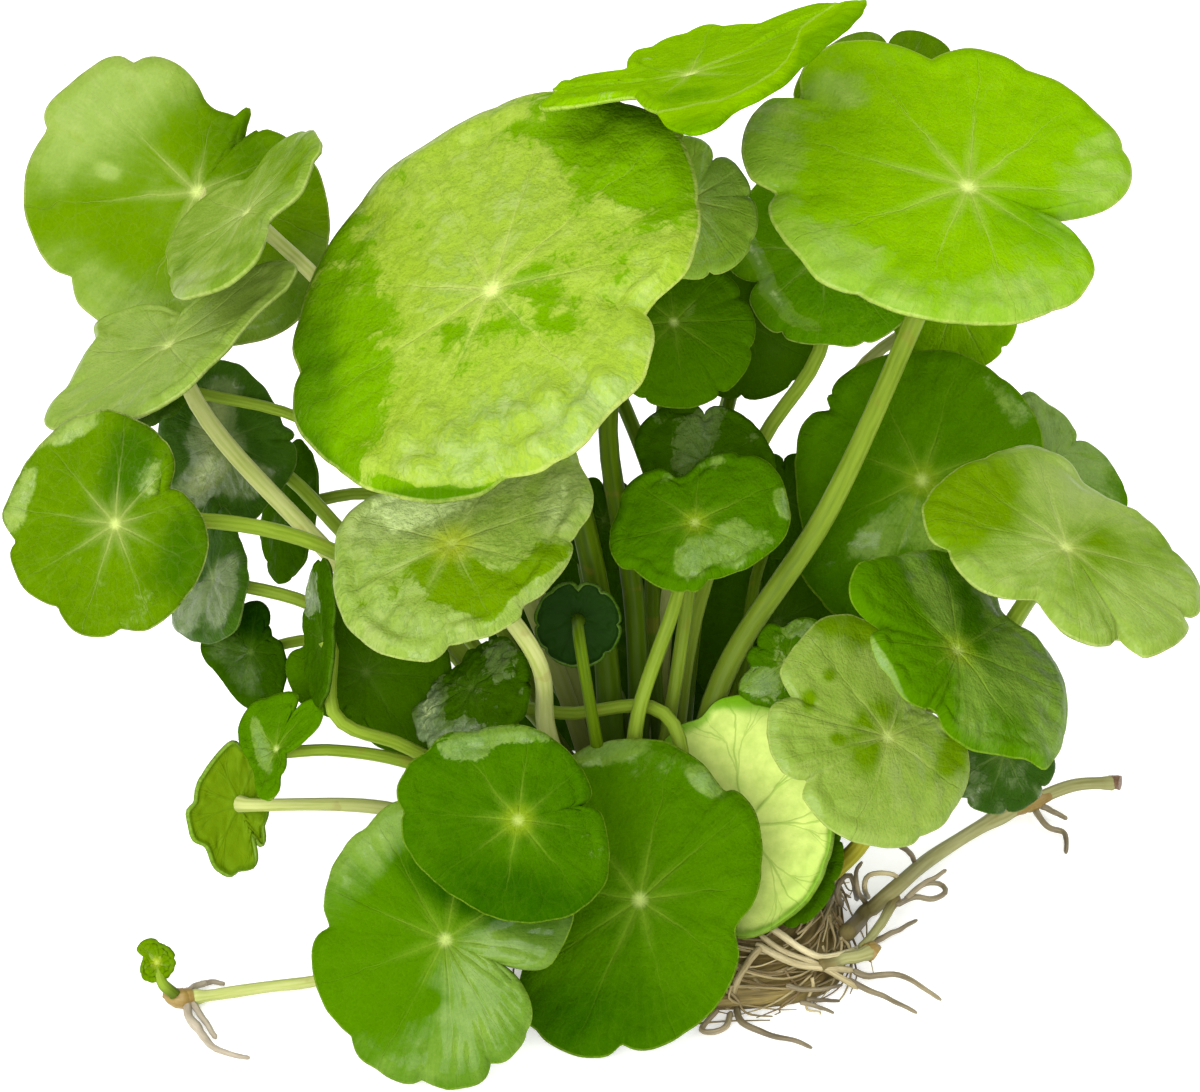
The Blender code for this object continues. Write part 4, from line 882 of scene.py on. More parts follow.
        sheen=(Spot(360, 850, 4.5, 0.8, 2, 60), Spot(345, 960, 2, 0.5), Spot(470, 1010, 6.5, 0.4, 1.5, 20),
        Spot(510, 938, 3.6, 0.5, 1.6, -5), Spot(390, 920, 6, -0.9, 1.6, 20),
        Spot(370, 1000, 4, -0.6, 1.6, -50), Spot(420, 870, 3, -0.6), Spot(415, 1003, 1, -1.6, 2.2, 5)),
        gloom=(Spot(560, 900, 4, 1.1, 2, -20), Spot(470, 897, 2.2, 0.9, 4, -28))),
    Leaf("leaf_rear_high", at(560, 230, 20), 9.6, (0.1, 0.75), Tone.SHADED, Stem.DARK,
        via=(at(662, 520, 25),)),
    Leaf("leaf_rear_left", at(420, 380, 28), 8.6, (-0.3, 0.75), Tone.SHADED, Stem.DARK, notch_at=120,
        via=(at(480, 560, 26),)),
    Leaf("leaf_rear_low", at(600, 640, 22), 8.8, (-0.1, 0.25), Tone.DEEP_SHADE, Stem.DARK, dark=0.3, painted_sheen=-0.7,
        marks=(728, 650, 715, 715, 660, 745, 590, 752, 530, 735, 495, 680, 492, 620, 520, 565, 560, 540,
        600, 535, 660, 545, 712, 590)),
    Leaf("leaf_rear_right", at(905, 470, 28), 8.6, (0.3, 0.75), Tone.SHADED, Stem.DARK, notch_at=60,
        via=(at(850, 600, 25), at(800, 700, 18))),
    Leaf("leaf_runner_tip", at(156, 962, -9.2), 2, (-0.2, 0.3), Tone.SOFT, notch=0, cup=-0.2,
        marks=(174, 966, 160, 980, 147, 980, 145, 956, 138, 949, 143, 943, 151, 940, 163, 946),
        rooted=tuple(VIEW.lying(176, 996, 1.6)), via=(at(163, 984, -9.5),), painted_sheen=-1, glow=1, lobes=5),
)


@dataclass(frozen=True)
class RootMat:
    """The low mass of roots and old stems that the stalks grow from."""

    centre: tuple[float, float] = (6.2, -14.1)
    reach: float = 17.0
    bulge: float = 5.6
    bulge_toward: float = math.radians(-40)
    bulge_width: float = 0.55
    height: float = 8.0
    foot_gap: float = 0.45
    foot_ring: float = 13.0
    foot_pull: float = 16.0
    foot_slack: float = 0.8
    foot_room: float = 1.25
    foot_push: float = 0.25
    foot_rounds: int = 200

    def edge(self, theta: np.ndarray) -> np.ndarray:
        """How far the mat spreads.

        Args:
            theta: directions round its middle.

        Returns:
            The reach in each direction in mm.
        """
        off = (theta - self.bulge_toward + math.pi) % TURN - math.pi
        lumps = 0.7 * np.sin(3 * theta + 0.6) + 0.5 * np.sin(7 * theta)
        return self.reach + self.bulge * np.exp(-((off / self.bulge_width) ** 2)) + lumps

    def top(self, x: np.ndarray, y: np.ndarray) -> np.ndarray:
        """Height of the mat over the ground.

        Args:
            x: mm to the right.
            y: mm to the back.

        Returns:
            The height at each place in mm.
        """
        across = x - self.centre[0]
        along = y - self.centre[1]
        share = np.hypot(across, along) / self.edge(np.arctan2(along, across))
        return self.height * np.sqrt(np.clip(1 - share * share, 0.0, 1.0))

    def place(self, x: float, y: float, height: float | None) -> np.ndarray:
        """World place that is seen at a point of the picture.

        Args:
            x: pixels from the picture's left edge.
            y: pixels from its top edge.
            height: mm over the ground, or None for the first place on the mat.

        Returns:
            The place in mm.
        """
        if height is not None:
            return VIEW.lying(x, y, height)
        for height in np.linspace(self.height, 0.4, 90):
            spot = VIEW.lying(x, y, height)
            if self.top(spot[0], spot[1]) >= height - 0.25:
                break
        return spot

    def feet(self, leaves: list[Leaf]) -> dict[str, np.ndarray]:
        """Finds where each stalk stands: under the lowest place it passes, eased apart until none crowd.

        Args:
            leaves: the leaves that grow from the mat.

        Returns:
            The foot of each leaf's stalk, x and y in mm, by leaf name.
        """
        middle = np.array(self.centre)
        place = np.array(VIEW.centre[:2])
        spots = {}
        for leaf in leaves:
            if leaf.foot:
                spots[leaf.name] = np.array(leaf.foot, float) + place
                continue
            last = VIEW.seen(*leaf.via[-1]) if leaf.via else leaf.frame[0]
            out = last[:2] - middle
            far = float(np.linalg.norm(out))
            spots[leaf.name] = middle + out / far * (self.foot_ring * far / (far + self.foot_pull))
        for _ in range(self.foot_rounds):
            for index, one in enumerate(leaves):
                for other in leaves[index + 1:]:
                    gap = spots[other.name] - spots[one.name]
                    far = math.hypot(gap[0], gap[1])
                    wanted = self.foot_room * (one.stalk_radius + other.stalk_radius) + self.foot_slack
                    if far < wanted:
                        push = gap / far * ((wanted - far) * self.foot_push)
                        spots[one.name] = spots[one.name] - push
                        spots[other.name] = spots[other.name] + push
        return spots


MAT = RootMat()


def even_points(line: np.ndarray, count: int) -> np.ndarray:
    """Points at even distances along a finely drawn line.

    Args:
        line: the line's points, one to a row.
        count: how many points are wanted.

    Returns:
        The points, one to a row.
    """
    run = np.concatenate([[0.0], np.cumsum(np.linalg.norm(np.diff(line, axis=0), axis=1))])
    wanted = np.linspace(0, run[-1], count)
    return np.stack([np.interp(wanted, run, line[:, axis]) for axis in range(3)], axis=-1)


def curve(places: list[np.ndarray], ways: list[np.ndarray], spans: list[float]) -> list[np.ndarray]:
    """Draws a smooth curve through places.

    Args:
        places: the places in mm.
        ways: the direction in which the curve passes each place.
        spans: how far it follows them between each place and the next.

    Returns:
        Points of the curve, close together.
    """
    fine = []
    for k, span in enumerate(spans):
        for step in range(CURVE_STEPS):
            share = step / CURVE_STEPS
            fine.append(hermite(places[k], places[k + 1], ways[k] * span, ways[k + 1] * span, share))
    return fine + [places[-1]]


def smooth_line(places: list[np.ndarray], count: int) -> np.ndarray:
    """Even points along a smooth line through places.

    Args:
        places: the places in mm.
        count: how many points are wanted.

    Returns:
        The points, one to a row.
    """
    ways = [places[1] - places[0]]
    ways += [(after - before) * 0.5 for before, after in zip(places, places[2:])]
    ways.append(places[-1] - places[-2])
    return even_points(np.array(curve(places, ways, [1.0] * (len(places) - 1))), count)


def stalk_line(leaf: Leaf, spot: np.ndarray, count: int) -> np.ndarray:
    """Middle line of a leaf's stalk, from just inside the root mat to the hub.

    Args:
        leaf: the leaf.
        spot: x and y of the stalk's foot in mm.
        count: how many points are wanted.

    Returns:
        The points in mm, one to a row.
    """
    hub, _, _, normal = leaf.frame
    lift = MAT.foot_gap + 0.6 * leaf.stalk_radius
    if leaf.rooted:
        foot = np.array(leaf.rooted)
    else:
        foot = np.array([spot[0], spot[1], float(MAT.top(spot[0], spot[1])) + lift])
    top = hub - normal * 0.5
    places = [foot] + [VIEW.seen(*place) for place in reversed(leaf.via)]
    if not leaf.via:
        places.append(top - normal * (STALK_APPROACH * np.linalg.norm(top - foot)))
    places.append(top)
    spans = [float(np.linalg.norm(after - before)) for before, after in zip(places, places[1:])]
    start = (places[1] - foot) / spans[0] + np.array([0.0, 0.0, STALK_RISE])
    ways = [start / np.linalg.norm(start)]
    for k in range(1, len(places) - 1):
        way = (places[k] - places[k - 1]) / spans[k - 1] * spans[k]
        way = way + (places[k + 1] - places[k]) / spans[k] * spans[k - 1]
        ways.append(way / np.linalg.norm(way))
    ways.append(normal * (0.6 if leaf.via else 1.0))
    buried = [] if leaf.rooted else [foot - ways[0] * (STALK_BURIED + lift)]
    return even_points(np.array(buried + curve(places, ways, spans)), count)


def clear_selection() -> None:
    """Deselects everything, because loading leaves the nodes selected."""
    bpy.ops.object.select_all(action="DESELECT")


def link(name: str, mesh: bpy.types.Mesh) -> bpy.types.Object:
    """Puts a mesh in the scene as an object at the origin, and makes it the active one.

    Args:
        name: name of the object and its mesh.
        mesh: the mesh, with its place in it.

    Returns:
        The object.
    """
    mesh.name = name
    made = bpy.data.objects.new(name, mesh)
    bpy.context.scene.collection.objects.link(made)
    clear_selection()
    made.select_set(True)
    bpy.context.view_layer.objects.active = made
    return made


def write_attribute(mesh: bpy.types.Mesh, name: str, values: np.ndarray) -> None:
    """Stores a number for each vertex under a name that the finishes read."""
    layer = mesh.attributes.new(name, "FLOAT", "POINT")
    layer.data.foreach_set("value", values.astype(np.float32))


def write_uv(mesh: bpy.types.Mesh, name: str, values: np.ndarray) -> None:
    """Stores a pair of numbers for each corner of the faces under a name that the finishes read."""
    layer = mesh.uv_layers.new(name=name)
    layer.data.foreach_set("uv", values.astype(np.float32).ravel())


def read_vectors(items: bpy.types.bpy_prop_collection, name: str) -> np.ndarray:
    """Reads a vector of each vertex or face.

    Args:
        items: the vertices or faces of a mesh.
        name: which of their vectors is read.

    Returns:
        The vectors, one to a row.
    """
    values = np.empty(len(items) * 3)
    items.foreach_get(name, values)
    return values.reshape(-1, 3)


@dataclass
class BladeBlank:
    """A flat round of rings and spokes that every blade of its size is copied from."""

    segments: int
    rings: int
    crowding: float = 0.85
    middle: float = 0.002
    seam: float = 0.001

    def __post_init__(self) -> None:
        """Models the blank and measures where its points lie."""
        made = self.model()
        self.mesh = made.data.copy()
        bpy.data.objects.remove(made)
        places = read_vectors(self.mesh.vertices, "co")
        self.rho = np.hypot(places[:, 0], places[:, 1])
        self.rho[self.rho < self.middle] = 0.0
        self.theta = np.arctan2(places[:, 1], places[:, 0]) % TURN
        self.theta[self.theta > TURN - self.seam] = 0.0
        owners = np.empty(len(self.mesh.loops), int)
        self.mesh.loops.foreach_get("vertex_index", owners)
        self.owners = owners
        middles = read_vectors(self.mesh.polygons, "center")
        sizes = np.empty(len(self.mesh.polygons), int)
        self.mesh.polygons.foreach_get("loop_total", sizes)
        middle = np.repeat(np.arctan2(middles[:, 1], middles[:, 0]) % TURN, sizes)
        off = (self.theta[owners] - middle + math.pi) % TURN - math.pi
        off[self.rho[owners] == 0] = 0.0
        self.corner_theta = np.clip(middle + off, 0.0, TURN)

    def model(self) -> bpy.types.Object:
        """Draws a circle and extrudes its edge inwards ring by ring, down to a point.

        Returns:
            The round, one unit in radius.
        """
        clear_selection()
        bpy.ops.mesh.primitive_circle_add(vertices=self.segments, radius=1.0, fill_type="NOTHING")
        made = bpy.context.object
        bpy.ops.object.mode_set(mode="EDIT")
        bpy.ops.mesh.select_mode(type="EDGE")
        bpy.ops.mesh.select_all(action="SELECT")
        last = 1.0
        for ring in range(1, self.rings):
            share = (1 - ring / self.rings) ** self.crowding
            bpy.ops.mesh.extrude_edges_move()
            scale = share / last
            bpy.ops.transform.resize(value=(scale, scale, 1.0), center_override=(0.0, 0.0, 0.0))
            last = share
        bpy.ops.mesh.extrude_edges_move()
        bpy.ops.mesh.merge(type="CENTER")
        bpy.ops.mesh.select_all(action="SELECT")
        bpy.ops.mesh.normals_make_consistent(inside=False)
        bpy.ops.object.mode_set(mode="OBJECT")
        if sum(face.normal.z for face in made.data.polygons) < 0:
            made.data.flip_normals()
        return made


@dataclass
class TubeBlank:
    """A straight closed tube that every stalk, runner and root is copied from."""

    sides: int
    rings: int

    def __post_init__(self) -> None:
        """Models the blank and measures where its points lie."""
        made = self.model()
        mesh = made.data
        places = read_vectors(mesh.vertices, "co")
        self.ring = np.rint(places[:, 2]).astype(int)
        self.angle = np.arctan2(places[:, 1], places[:, 0]) % TURN
        self.faces = [list(face.vertices) for face in mesh.polygons]
        self.owners = np.array([vertex for face in self.faces for vertex in face])
        middles = []
        for face in mesh.polygons:
            middle = math.atan2(face.center.y, face.center.x) % TURN
            middles += [middle if len(face.vertices) == 4 else math.nan] * len(face.vertices)
        middles = np.array(middles)
        turns = self.angle[self.owners]
        flat = np.isnan(middles)
        off = (turns - np.where(flat, turns, middles) + math.pi) % TURN - math.pi
        self.corner_angle = np.where(flat, turns, middles + off)
        bpy.data.objects.remove(made)

    def model(self) -> bpy.types.Object:
        """Draws a disc and extrudes it upwards ring by ring.

        Returns:
            The tube, one unit in radius and between rings.
        """
        clear_selection()
        bpy.ops.mesh.primitive_circle_add(vertices=self.sides, radius=1.0, fill_type="NGON")
        made = bpy.context.object
        bpy.ops.object.mode_set(mode="EDIT")
        bpy.ops.mesh.select_mode(type="FACE")
        bpy.ops.mesh.select_all(action="SELECT")
        for _ in range(self.rings - 1):
            bpy.ops.mesh.extrude_region_move(TRANSFORM_OT_translate={"value": (0.0, 0.0, 1.0)})
        bpy.ops.mesh.select_all(action="SELECT")
        bpy.ops.mesh.normals_make_consistent(inside=False)
        bpy.ops.object.mode_set(mode="OBJECT")
        return made


@dataclass
class Tube:
    """One strand: a middle line in mm with a radius at each point."""

    line: np.ndarray
    radii: np.ndarray
    shade: float = 0.0

    def rings(self) -> tuple[np.ndarray, np.ndarray]:
        """Directions across the line, carried along it without twisting.

        Returns:
            Two of them at each point, at right angles.
        """
        ways = np.gradient(self.line, axis=0)
        ways = ways / np.maximum(np.linalg.norm(ways, axis=1, keepdims=True), 1e-9)
        start = np.array([0.0, 0.0, 1.0]) if abs(ways[0][2]) < 0.9 else np.array([1.0, 0.0, 0.0])
        side = np.cross(ways[0], start)
        sides = []
        for way in ways:
            side = side - way * (side @ way)
            side = side / np.linalg.norm(side)
            sides.append(side)
        sides = np.array(sides)
        return sides, np.cross(ways, sides)


def bundle(name: str, blank: TubeBlank, tubes: list[Tube]) -> bpy.types.Mesh:
    """Makes one mesh of many strands, each a copy of the blank laid along its line.

    Args:
        name: name of the mesh.
        blank: the tube to copy, with as many rings as each line has points.
        tubes: the strands.

    Returns:
        The mesh in metres, with the uv map and attributes that the finishes read.
    """
    places = []
    faces = []
    strand_uv = []
    shades = []
    shares = []
    count = len(blank.ring)
    for index, tube in enumerate(tubes):
        sides, ups = tube.rings()
        run = np.concatenate([[0.0], np.cumsum(np.linalg.norm(np.diff(tube.line, axis=0), axis=1))])
        radius = tube.radii[blank.ring][:, None]
        around = sides[blank.ring] * np.cos(blank.angle)[:, None]
        around = around + ups[blank.ring] * np.sin(blank.angle)[:, None]
        places.append((tube.line[blank.ring] + around * radius) * MM)
        faces += [[vertex + index * count for vertex in face] for face in blank.faces]
        along = run[blank.ring[blank.owners]] / 10
        strand_uv.append(np.stack([blank.corner_angle / TURN, along + STRAND_SHIFT * index], axis=-1))
        shades.append(np.full(count, tube.shade))
        shares.append(blank.ring / (blank.ring.max() or 1))
    mesh = bpy.data.meshes.new(name)
    mesh.from_pydata(np.concatenate(places).tolist(), [], faces)
    write_uv(mesh, "veins", np.concatenate(strand_uv))
    write_uv(mesh, "blade", np.concatenate(strand_uv))
    write_attribute(mesh, "sheen", np.concatenate(shades))
    # share along the strand, from which the stalk skin paints shade at the foot
    write_attribute(mesh, "gloom", np.concatenate(shares))
    write_attribute(mesh, "sector", np.zeros(count * len(tubes)))
    mesh.shade_smooth()
    mesh.set_sharp_from_angle(angle=SHARP_ANGLE)
    return mesh


class Graph:
    """A material's nodes, with short ways to add what the finishes use."""

    def __init__(self, name: str) -> None:
        """Starts a material with a plain shader."""
        self.material = bpy.data.materials.new(name)
        self.material.use_nodes = True
        self.tree = self.material.node_tree
        self.shader = self.tree.nodes["Principled BSDF"]

    def put(self, socket: Socket, value: object) -> None:
        """Joins a socket to another one, or sets it to a plain value.

        Args:
            socket: the input.
            value: an output, a number, a colour or a vector.
        """
        if isinstance(value, Socket):
            self.tree.links.new(value, socket)
        else:
            socket.default_value = value

    def add(self, kind: str, inputs: dict[int | str, object], **settings: object) -> bpy.types.Node:
        """Adds a node.

        Args:
            kind: its type, without the word that all shader nodes start with.
            inputs: what its inputs get, by name or number.
            settings: its other settings.

        Returns:
            The node.
        """
        node = self.tree.nodes.new("ShaderNode" + kind)
        for key, value in settings.items():
            setattr(node, key, value)
        for key, value in inputs.items():
            self.put(node.inputs[key], value)
        return node

    def math(self, operation: str, first: object, second: object = 0.0, third: object = 0.0) -> Socket:
        """One step of arithmetic."""
        return self.add("Math", {0: first, 1: second, 2: third}, operation=operation).outputs[0]

    def times(self, first: object, second: object) -> Socket:
        """The product of two values."""
        return self.math("MULTIPLY", first, second)

    def times_plus(self, first: object, second: object, third: object) -> Socket:
        """The product of the first two values, plus the third."""
        return self.math("MULTIPLY_ADD", first, second, third)

    def ramp(self, value: object, low: object, high: object, start: float = 0.0,
             end: float = 1.0) -> Socket:
        """Goes smoothly from start to end while a value goes from low to high."""
        inputs = {"Value": value, "From Min": low, "From Max": high, "To Min": start, "To Max": end}
        return self.add("MapRange", inputs, interpolation_type="SMOOTHSTEP").outputs["Result"]

    def mix(self, share: object, first: object, second: object) -> Socket:
        """Mixes two colours."""
        return self.add("Mix", {0: share, 6: first, 7: second}, data_type="RGBA").outputs[2]

    def noise(self, place: object, scale: float, detail: float = 2.0, rough: float = 0.5) -> Socket:
        """Smooth noise round one half."""
        inputs = {"Vector": place, "Scale": scale, "Detail": detail, "Roughness": rough}
        return self.add("TexNoise", inputs).outputs["Fac"]

    def centred(self, place: object, scale: float, detail: float = 2.0, rough: float = 0.5) -> Socket:
        """Smooth noise round nought."""
        return self.math("SUBTRACT", self.noise(place, scale, detail, rough), 0.5)

    def uv(self, name: str) -> Socket:
        """Place on one of the piece's own uv maps."""
        return self.add("UVMap", {}, uv_map=name).outputs["UV"]

    def stretched(self, place: object, across: float, along: float) -> Socket:
        """Place scaled along its two axes."""
        return self.add("Mapping", {"Vector": place, "Scale": (across, along, 1.0)}).outputs["Vector"]

    def value(self, name: str) -> Socket:
        """A number that is stored at the piece's vertices."""
        return self.add("Attribute", {}, attribute_name=name).outputs["Fac"]

    def object_place(self) -> Socket:
        """Place on the object in metres."""
        return self.add("TexCoord", {}).outputs["Object"]

    def finish(self, colour: object, roughness: object, gloss: float) -> None:
        """Gives the surface its colour, roughness and shine.

        Args:
            colour: the colour that the nodes make.
            roughness: a number, or a value that the nodes make.
            gloss: how strongly it mirrors.
        """
        self.put(self.shader.inputs["Base Color"], colour)
        self.put(self.shader.inputs["Roughness"], roughness)
        self.shader.inputs["Specular IOR Level"].default_value = gloss

    def bump(self, height: object, strength: float, distance: float) -> None:
        """Raises the surface by a height, in shading only."""
        node = self.add("Bump", {"Height": height, "Strength": strength, "Distance": distance})
        self.put(self.shader.inputs["Normal"], node.outputs["Normal"])


@dataclass(frozen=True)
class Veins:
    """The net of veins in a blade, as lines that a finish can colour and raise."""

    main: Socket
    halo: Socket
    forks: Socket
    net: Socket
    rho: Socket
    polar: Socket


def draw_veins(graph: Graph, net_scale: float) -> Veins:
    """Draws a blade's veins: one along each lobe that forks twice, and a net between them.

    Args:
        graph: the material to draw in.
        net_scale: cells of the net in 10 mm.

    Returns:
        The lines.
    """
    ramp, times, times_plus = graph.ramp, graph.times, graph.times_plus
    polar = graph.uv("veins")
    parts = graph.add("SeparateXYZ", {"Vector": polar})
    lobe, rho = parts.outputs["X"], parts.outputs["Y"]
    flat = graph.uv("blade")
    sector = graph.value("sector")
    off = graph.math("SUBTRACT", graph.math("FRACT", lobe), 0.5)
    off = graph.math("ABSOLUTE", times_plus(graph.centred(flat, 3.0, 3.0), 0.2, off))
    away = times(off, sector)
    main = ramp(away, 0.04, ramp(rho, 0.0, 1.0, 0.2, 0.1), 1.0, 0.0)
    halo = ramp(away, 0.0, ramp(rho, 0.0, 0.9, 1.1, 0.5), 1.0, 0.0)
    fork_way = ramp(rho, 0.3, 1.25, 0.0, 0.34)
    fork = graph.math("ABSOLUTE", graph.math("SUBTRACT", off, fork_way))
    forks = ramp(times(fork, sector), 0.02, 0.11, 1.0, 0.0)
    forks = times(forks, ramp(rho, 0.3, 0.42))
    twig_way = ramp(rho, 0.6, 1.2, 0.0, 0.14)
    twig = graph.math("ABSOLUTE", graph.math("SUBTRACT", fork, twig_way))
    twigs = ramp(times(twig, sector), 0.02, 0.09, 0.7, 0.0)
    twigs = times(twigs, ramp(rho, 0.6, 0.7))
    warp = graph.add("TexNoise", {"Vector": flat, "Scale": 4.0, "Detail": 1.0}).outputs["Color"]
    warp = graph.add("VectorMath", {0: warp, "Scale": 0.12}, operation="SCALE").outputs[0]
    moved = graph.add("VectorMath", {0: flat, 1: warp}, operation="ADD").outputs[0]
    cells = graph.add("TexVoronoi", {"Vector": moved, "Scale": net_scale}, feature="DISTANCE_TO_EDGE")
    net = ramp(cells.outputs["Distance"], 0.02, 0.09, 1.0, 0.0)
    return Veins(main, halo, graph.math("MAXIMUM", forks, twigs), net, rho, polar)


@dataclass(frozen=True)
class LeafSkin:
    """The upper side of a leaf: a full green with painted shade, and painted pale reflection where a wet film
    lies.
    """

    name: str
    fresh: Colour
    # painted light: deep is the green that painted shade and grain mix towards; the pale tints and glare
    # paint the film's reflection and highlights
    deep: Colour
    pale: Colour
    vein: Colour
    painted_haze: Colour = leaf_tint(178, 202, 122)
    glare: Colour = tint(190, 206, 140)
    glow: Colour = leaf_tint(190, 208, 10)
    hub: Colour = tint(196, 210, 124)
    spot: float = 0.8
    vein_share: float = 0.32
    halo_share: float = 0.38
    net_share: float = 0.025
    roughness: float = 0.5
    wet: float = 0.3
    gloss: float = 0.0
    film: float = 0.25
    film_roughness: float = 0.14
    creases: float = 0.0
    net_scale: float = 8.0
    bump: float = 0.8
    bump_depth: float = 0.001

    def material(self) -> bpy.types.Material:
        """Makes the finish.

        Returns:
            The material.
        """
        graph = Graph(self.name)
        mix, ramp, times, times_plus = graph.mix, graph.ramp, graph.times, graph.times_plus
        flat = graph.uv("blade")
        veins = draw_veins(graph, self.net_scale)
        broad = graph.centred(flat, 1.5, 2.0)
        fine = graph.centred(flat, 3.8, 6.0, 0.62)
        grain = graph.centred(flat, 34.0, 2.0)
        ray = graph.centred(graph.stretched(veins.polar, 9.0, 1.2), 1.4, 4.0, 0.6)
        crisp = graph.value("crisp")
        # where the wet film lies: the mask of its painted reflection, which also sets the real coat and
        # roughness
        film = times_plus(broad, 1.1, graph.value("sheen"))
        film = times_plus(ray, 0.5, film)
        film = times_plus(fine, times_plus(crisp, 2.6, 0.5), film)
        film = times_plus(veins.net, times(crisp, -0.2), film)
        width = graph.math("SUBTRACT", 0.7, times(graph.math("SQRT", crisp), 0.6))
        painted_sheen_mask = ramp(film, times(width, -1.0), width)
        # the green under it with painted shade, and the tints of the film's painted reflection
        shade = times_plus(broad, -0.6, graph.value("gloom"))
        shade = times_plus(fine, 0.5, shade)
        shade = times_plus(ray, 0.4, shade)
        colour = mix(ramp(shade, -0.25, 1.0), self.fresh, self.deep)
        glint = times_plus(ray, 0.8, times(fine, 1.2))
        light = mix(ramp(film, 0.5, 1.5), self.pale, self.painted_haze)
        light = mix(ramp(glint, -0.1, 0.5, 0.0, 0.4), light, self.vein)
        light = mix(ramp(graph.value("gloom"), 0.0, 1.0, 0.0, 0.6), light, self.deep)
        colour = mix(times(painted_sheen_mask, 0.85), colour, light)
        # painted highlight where the film's painted reflection is strongest
        colour = mix(ramp(film, 1.5, 2.4, 0.0, 0.65), colour, self.glare)
        # painted shade in fine creases of the film
        painted_crease_shade = times(ramp(graph.math("ABSOLUTE", fine), 0.0, 0.05, 1.0, 0.0), crisp)
        colour = mix(times(times(painted_crease_shade, painted_sheen_mask), 0.3), colour, self.deep)
        # the veins, bold near the hub
        colour = mix(times(veins.net, self.net_share), colour, self.vein)
        lines = graph.math("MAXIMUM", veins.main, times(veins.forks, 0.4))
        lines = times(lines, ramp(graph.math("ADD", broad, fine), -0.25, 0.2, 0.3, 1.0))
        fade = ramp(veins.rho, 0.1, 0.95, self.vein_share, self.vein_share * 0.15)
        colour = mix(times(lines, fade), colour, self.vein)
        fade = ramp(veins.rho, 0.02, ramp(ray, -0.3, 0.3, 0.3, 0.7), self.halo_share, 0.0)
        colour = mix(times(veins.halo, fade), colour, self.vein)
        # the hub, the painted highlight on the rim, and the turned band with its painted shade and painted
        # highlight
        reach = graph.value("reach")
        glow = graph.value("glow")
        halo = ramp(reach, 0.2, times_plus(glow, 1.4, 1.3), 0.9, 0.0)
        halo = times(halo, times_plus(glow, 0.6, 0.4 * self.spot))
        colour = mix(halo, colour, mix(glow, self.vein, self.glow))
        spot = ramp(times_plus(ray, 0.8, reach), 0.1, 0.85, self.spot, 0.0)
        spot = times(spot, times_plus(glow, -0.6, 1.0))
        colour = mix(spot, colour, self.hub)
        # painted highlight along the rim, in broken stretches
        edge = times(ramp(veins.rho, 0.982, 0.992), ramp(ray, -0.3, 0.2, 0.15, 0.6))
        colour = mix(edge, colour, self.vein)
        colour = mix(ramp(grain, -0.2, 0.3, 0.0, 0.14), colour, self.deep)
        # the turned-over rim: shade painted darker further below the fold, and a painted highlight along the
        # fold
        turned = graph.value("turned")
        shade = ramp(times_plus(fine, 1.5, turned), 0.4, 2.2, 0.0, 0.6)
        under = mix(shade, self.fresh, self.deep)
        under = mix(ramp(turned, 0.1, 0.35, 0.3, 0.0), under, self.vein)
        colour = mix(ramp(turned, 0.0, 0.1), colour, under)
        graph.finish(colour, ramp(painted_sheen_mask, 0.0, 1.0, self.roughness, self.wet), self.gloss)
        graph.put(graph.shader.inputs["Coat Weight"], times(painted_sheen_mask, self.film))
        graph.shader.inputs["Coat Roughness"].default_value = self.film_roughness
        # the relief that shading alone shows
        height = times(fine, times_plus(crisp, 1.1, 0.3))
        height = times_plus(ray, 0.15, height)
        height = times_plus(grain, 0.12, height)
        height = times_plus(lines, -0.09, height)
        height = times_plus(veins.net, -0.018, height)
        if self.creases:
            ringed = graph.stretched(veins.polar, 2.2, 20.0)
            height = times_plus(graph.centred(ringed, 1.0, 3.0), self.creases, height)
        graph.bump(height, self.bump, self.bump_depth)
        return graph.material


@dataclass(frozen=True)
class UnderSkin:
    """The underside of a leaf: pale and matt, with a net of darker veins and painted shade from the gloom
    spots.
    """

    name: str
    pale: Colour
    vein: Colour
    net_share: float = 0.3
    line_share: float = 0.6
    net_scale: float = 5.0
    roughness: float = 0.6
    gloss: float = 0.05
    bump: float = 0.4
    bump_depth: float = 0.0003

    def material(self) -> bpy.types.Material:
        """Makes the finish.

        Returns:
            The material.
        """
        graph = Graph(self.name)
        mix, ramp, times, times_plus = graph.mix, graph.ramp, graph.times, graph.times_plus
        flat = graph.uv("blade")
        veins = draw_veins(graph, self.net_scale)
        mottle = graph.noise(flat, 6.0, 4.0, 0.62)
        colour = mix(ramp(mottle, 0.3, 0.75, 0.0, 0.3), self.pale, self.vein)
        # painted shade from the leaf's gloom spots
        colour = mix(ramp(graph.value("gloom"), 0.0, 1.0), colour, self.vein)
        lines = graph.math("MAXIMUM", veins.main, times(veins.forks, 0.8))
        lines = graph.math("MAXIMUM", lines, times(veins.net, self.net_share))
        colour = mix(times(lines, self.line_share), colour, self.vein)
        edge = ramp(times_plus(mottle, 0.08, veins.rho), 0.95, 1.02, 0.0, 0.8)
        colour = mix(edge, colour, self.vein)
        graph.finish(colour, self.roughness, self.gloss)
        graph.bump(times_plus(lines, self.line_share, mottle), self.bump, self.bump_depth)
        return graph.material


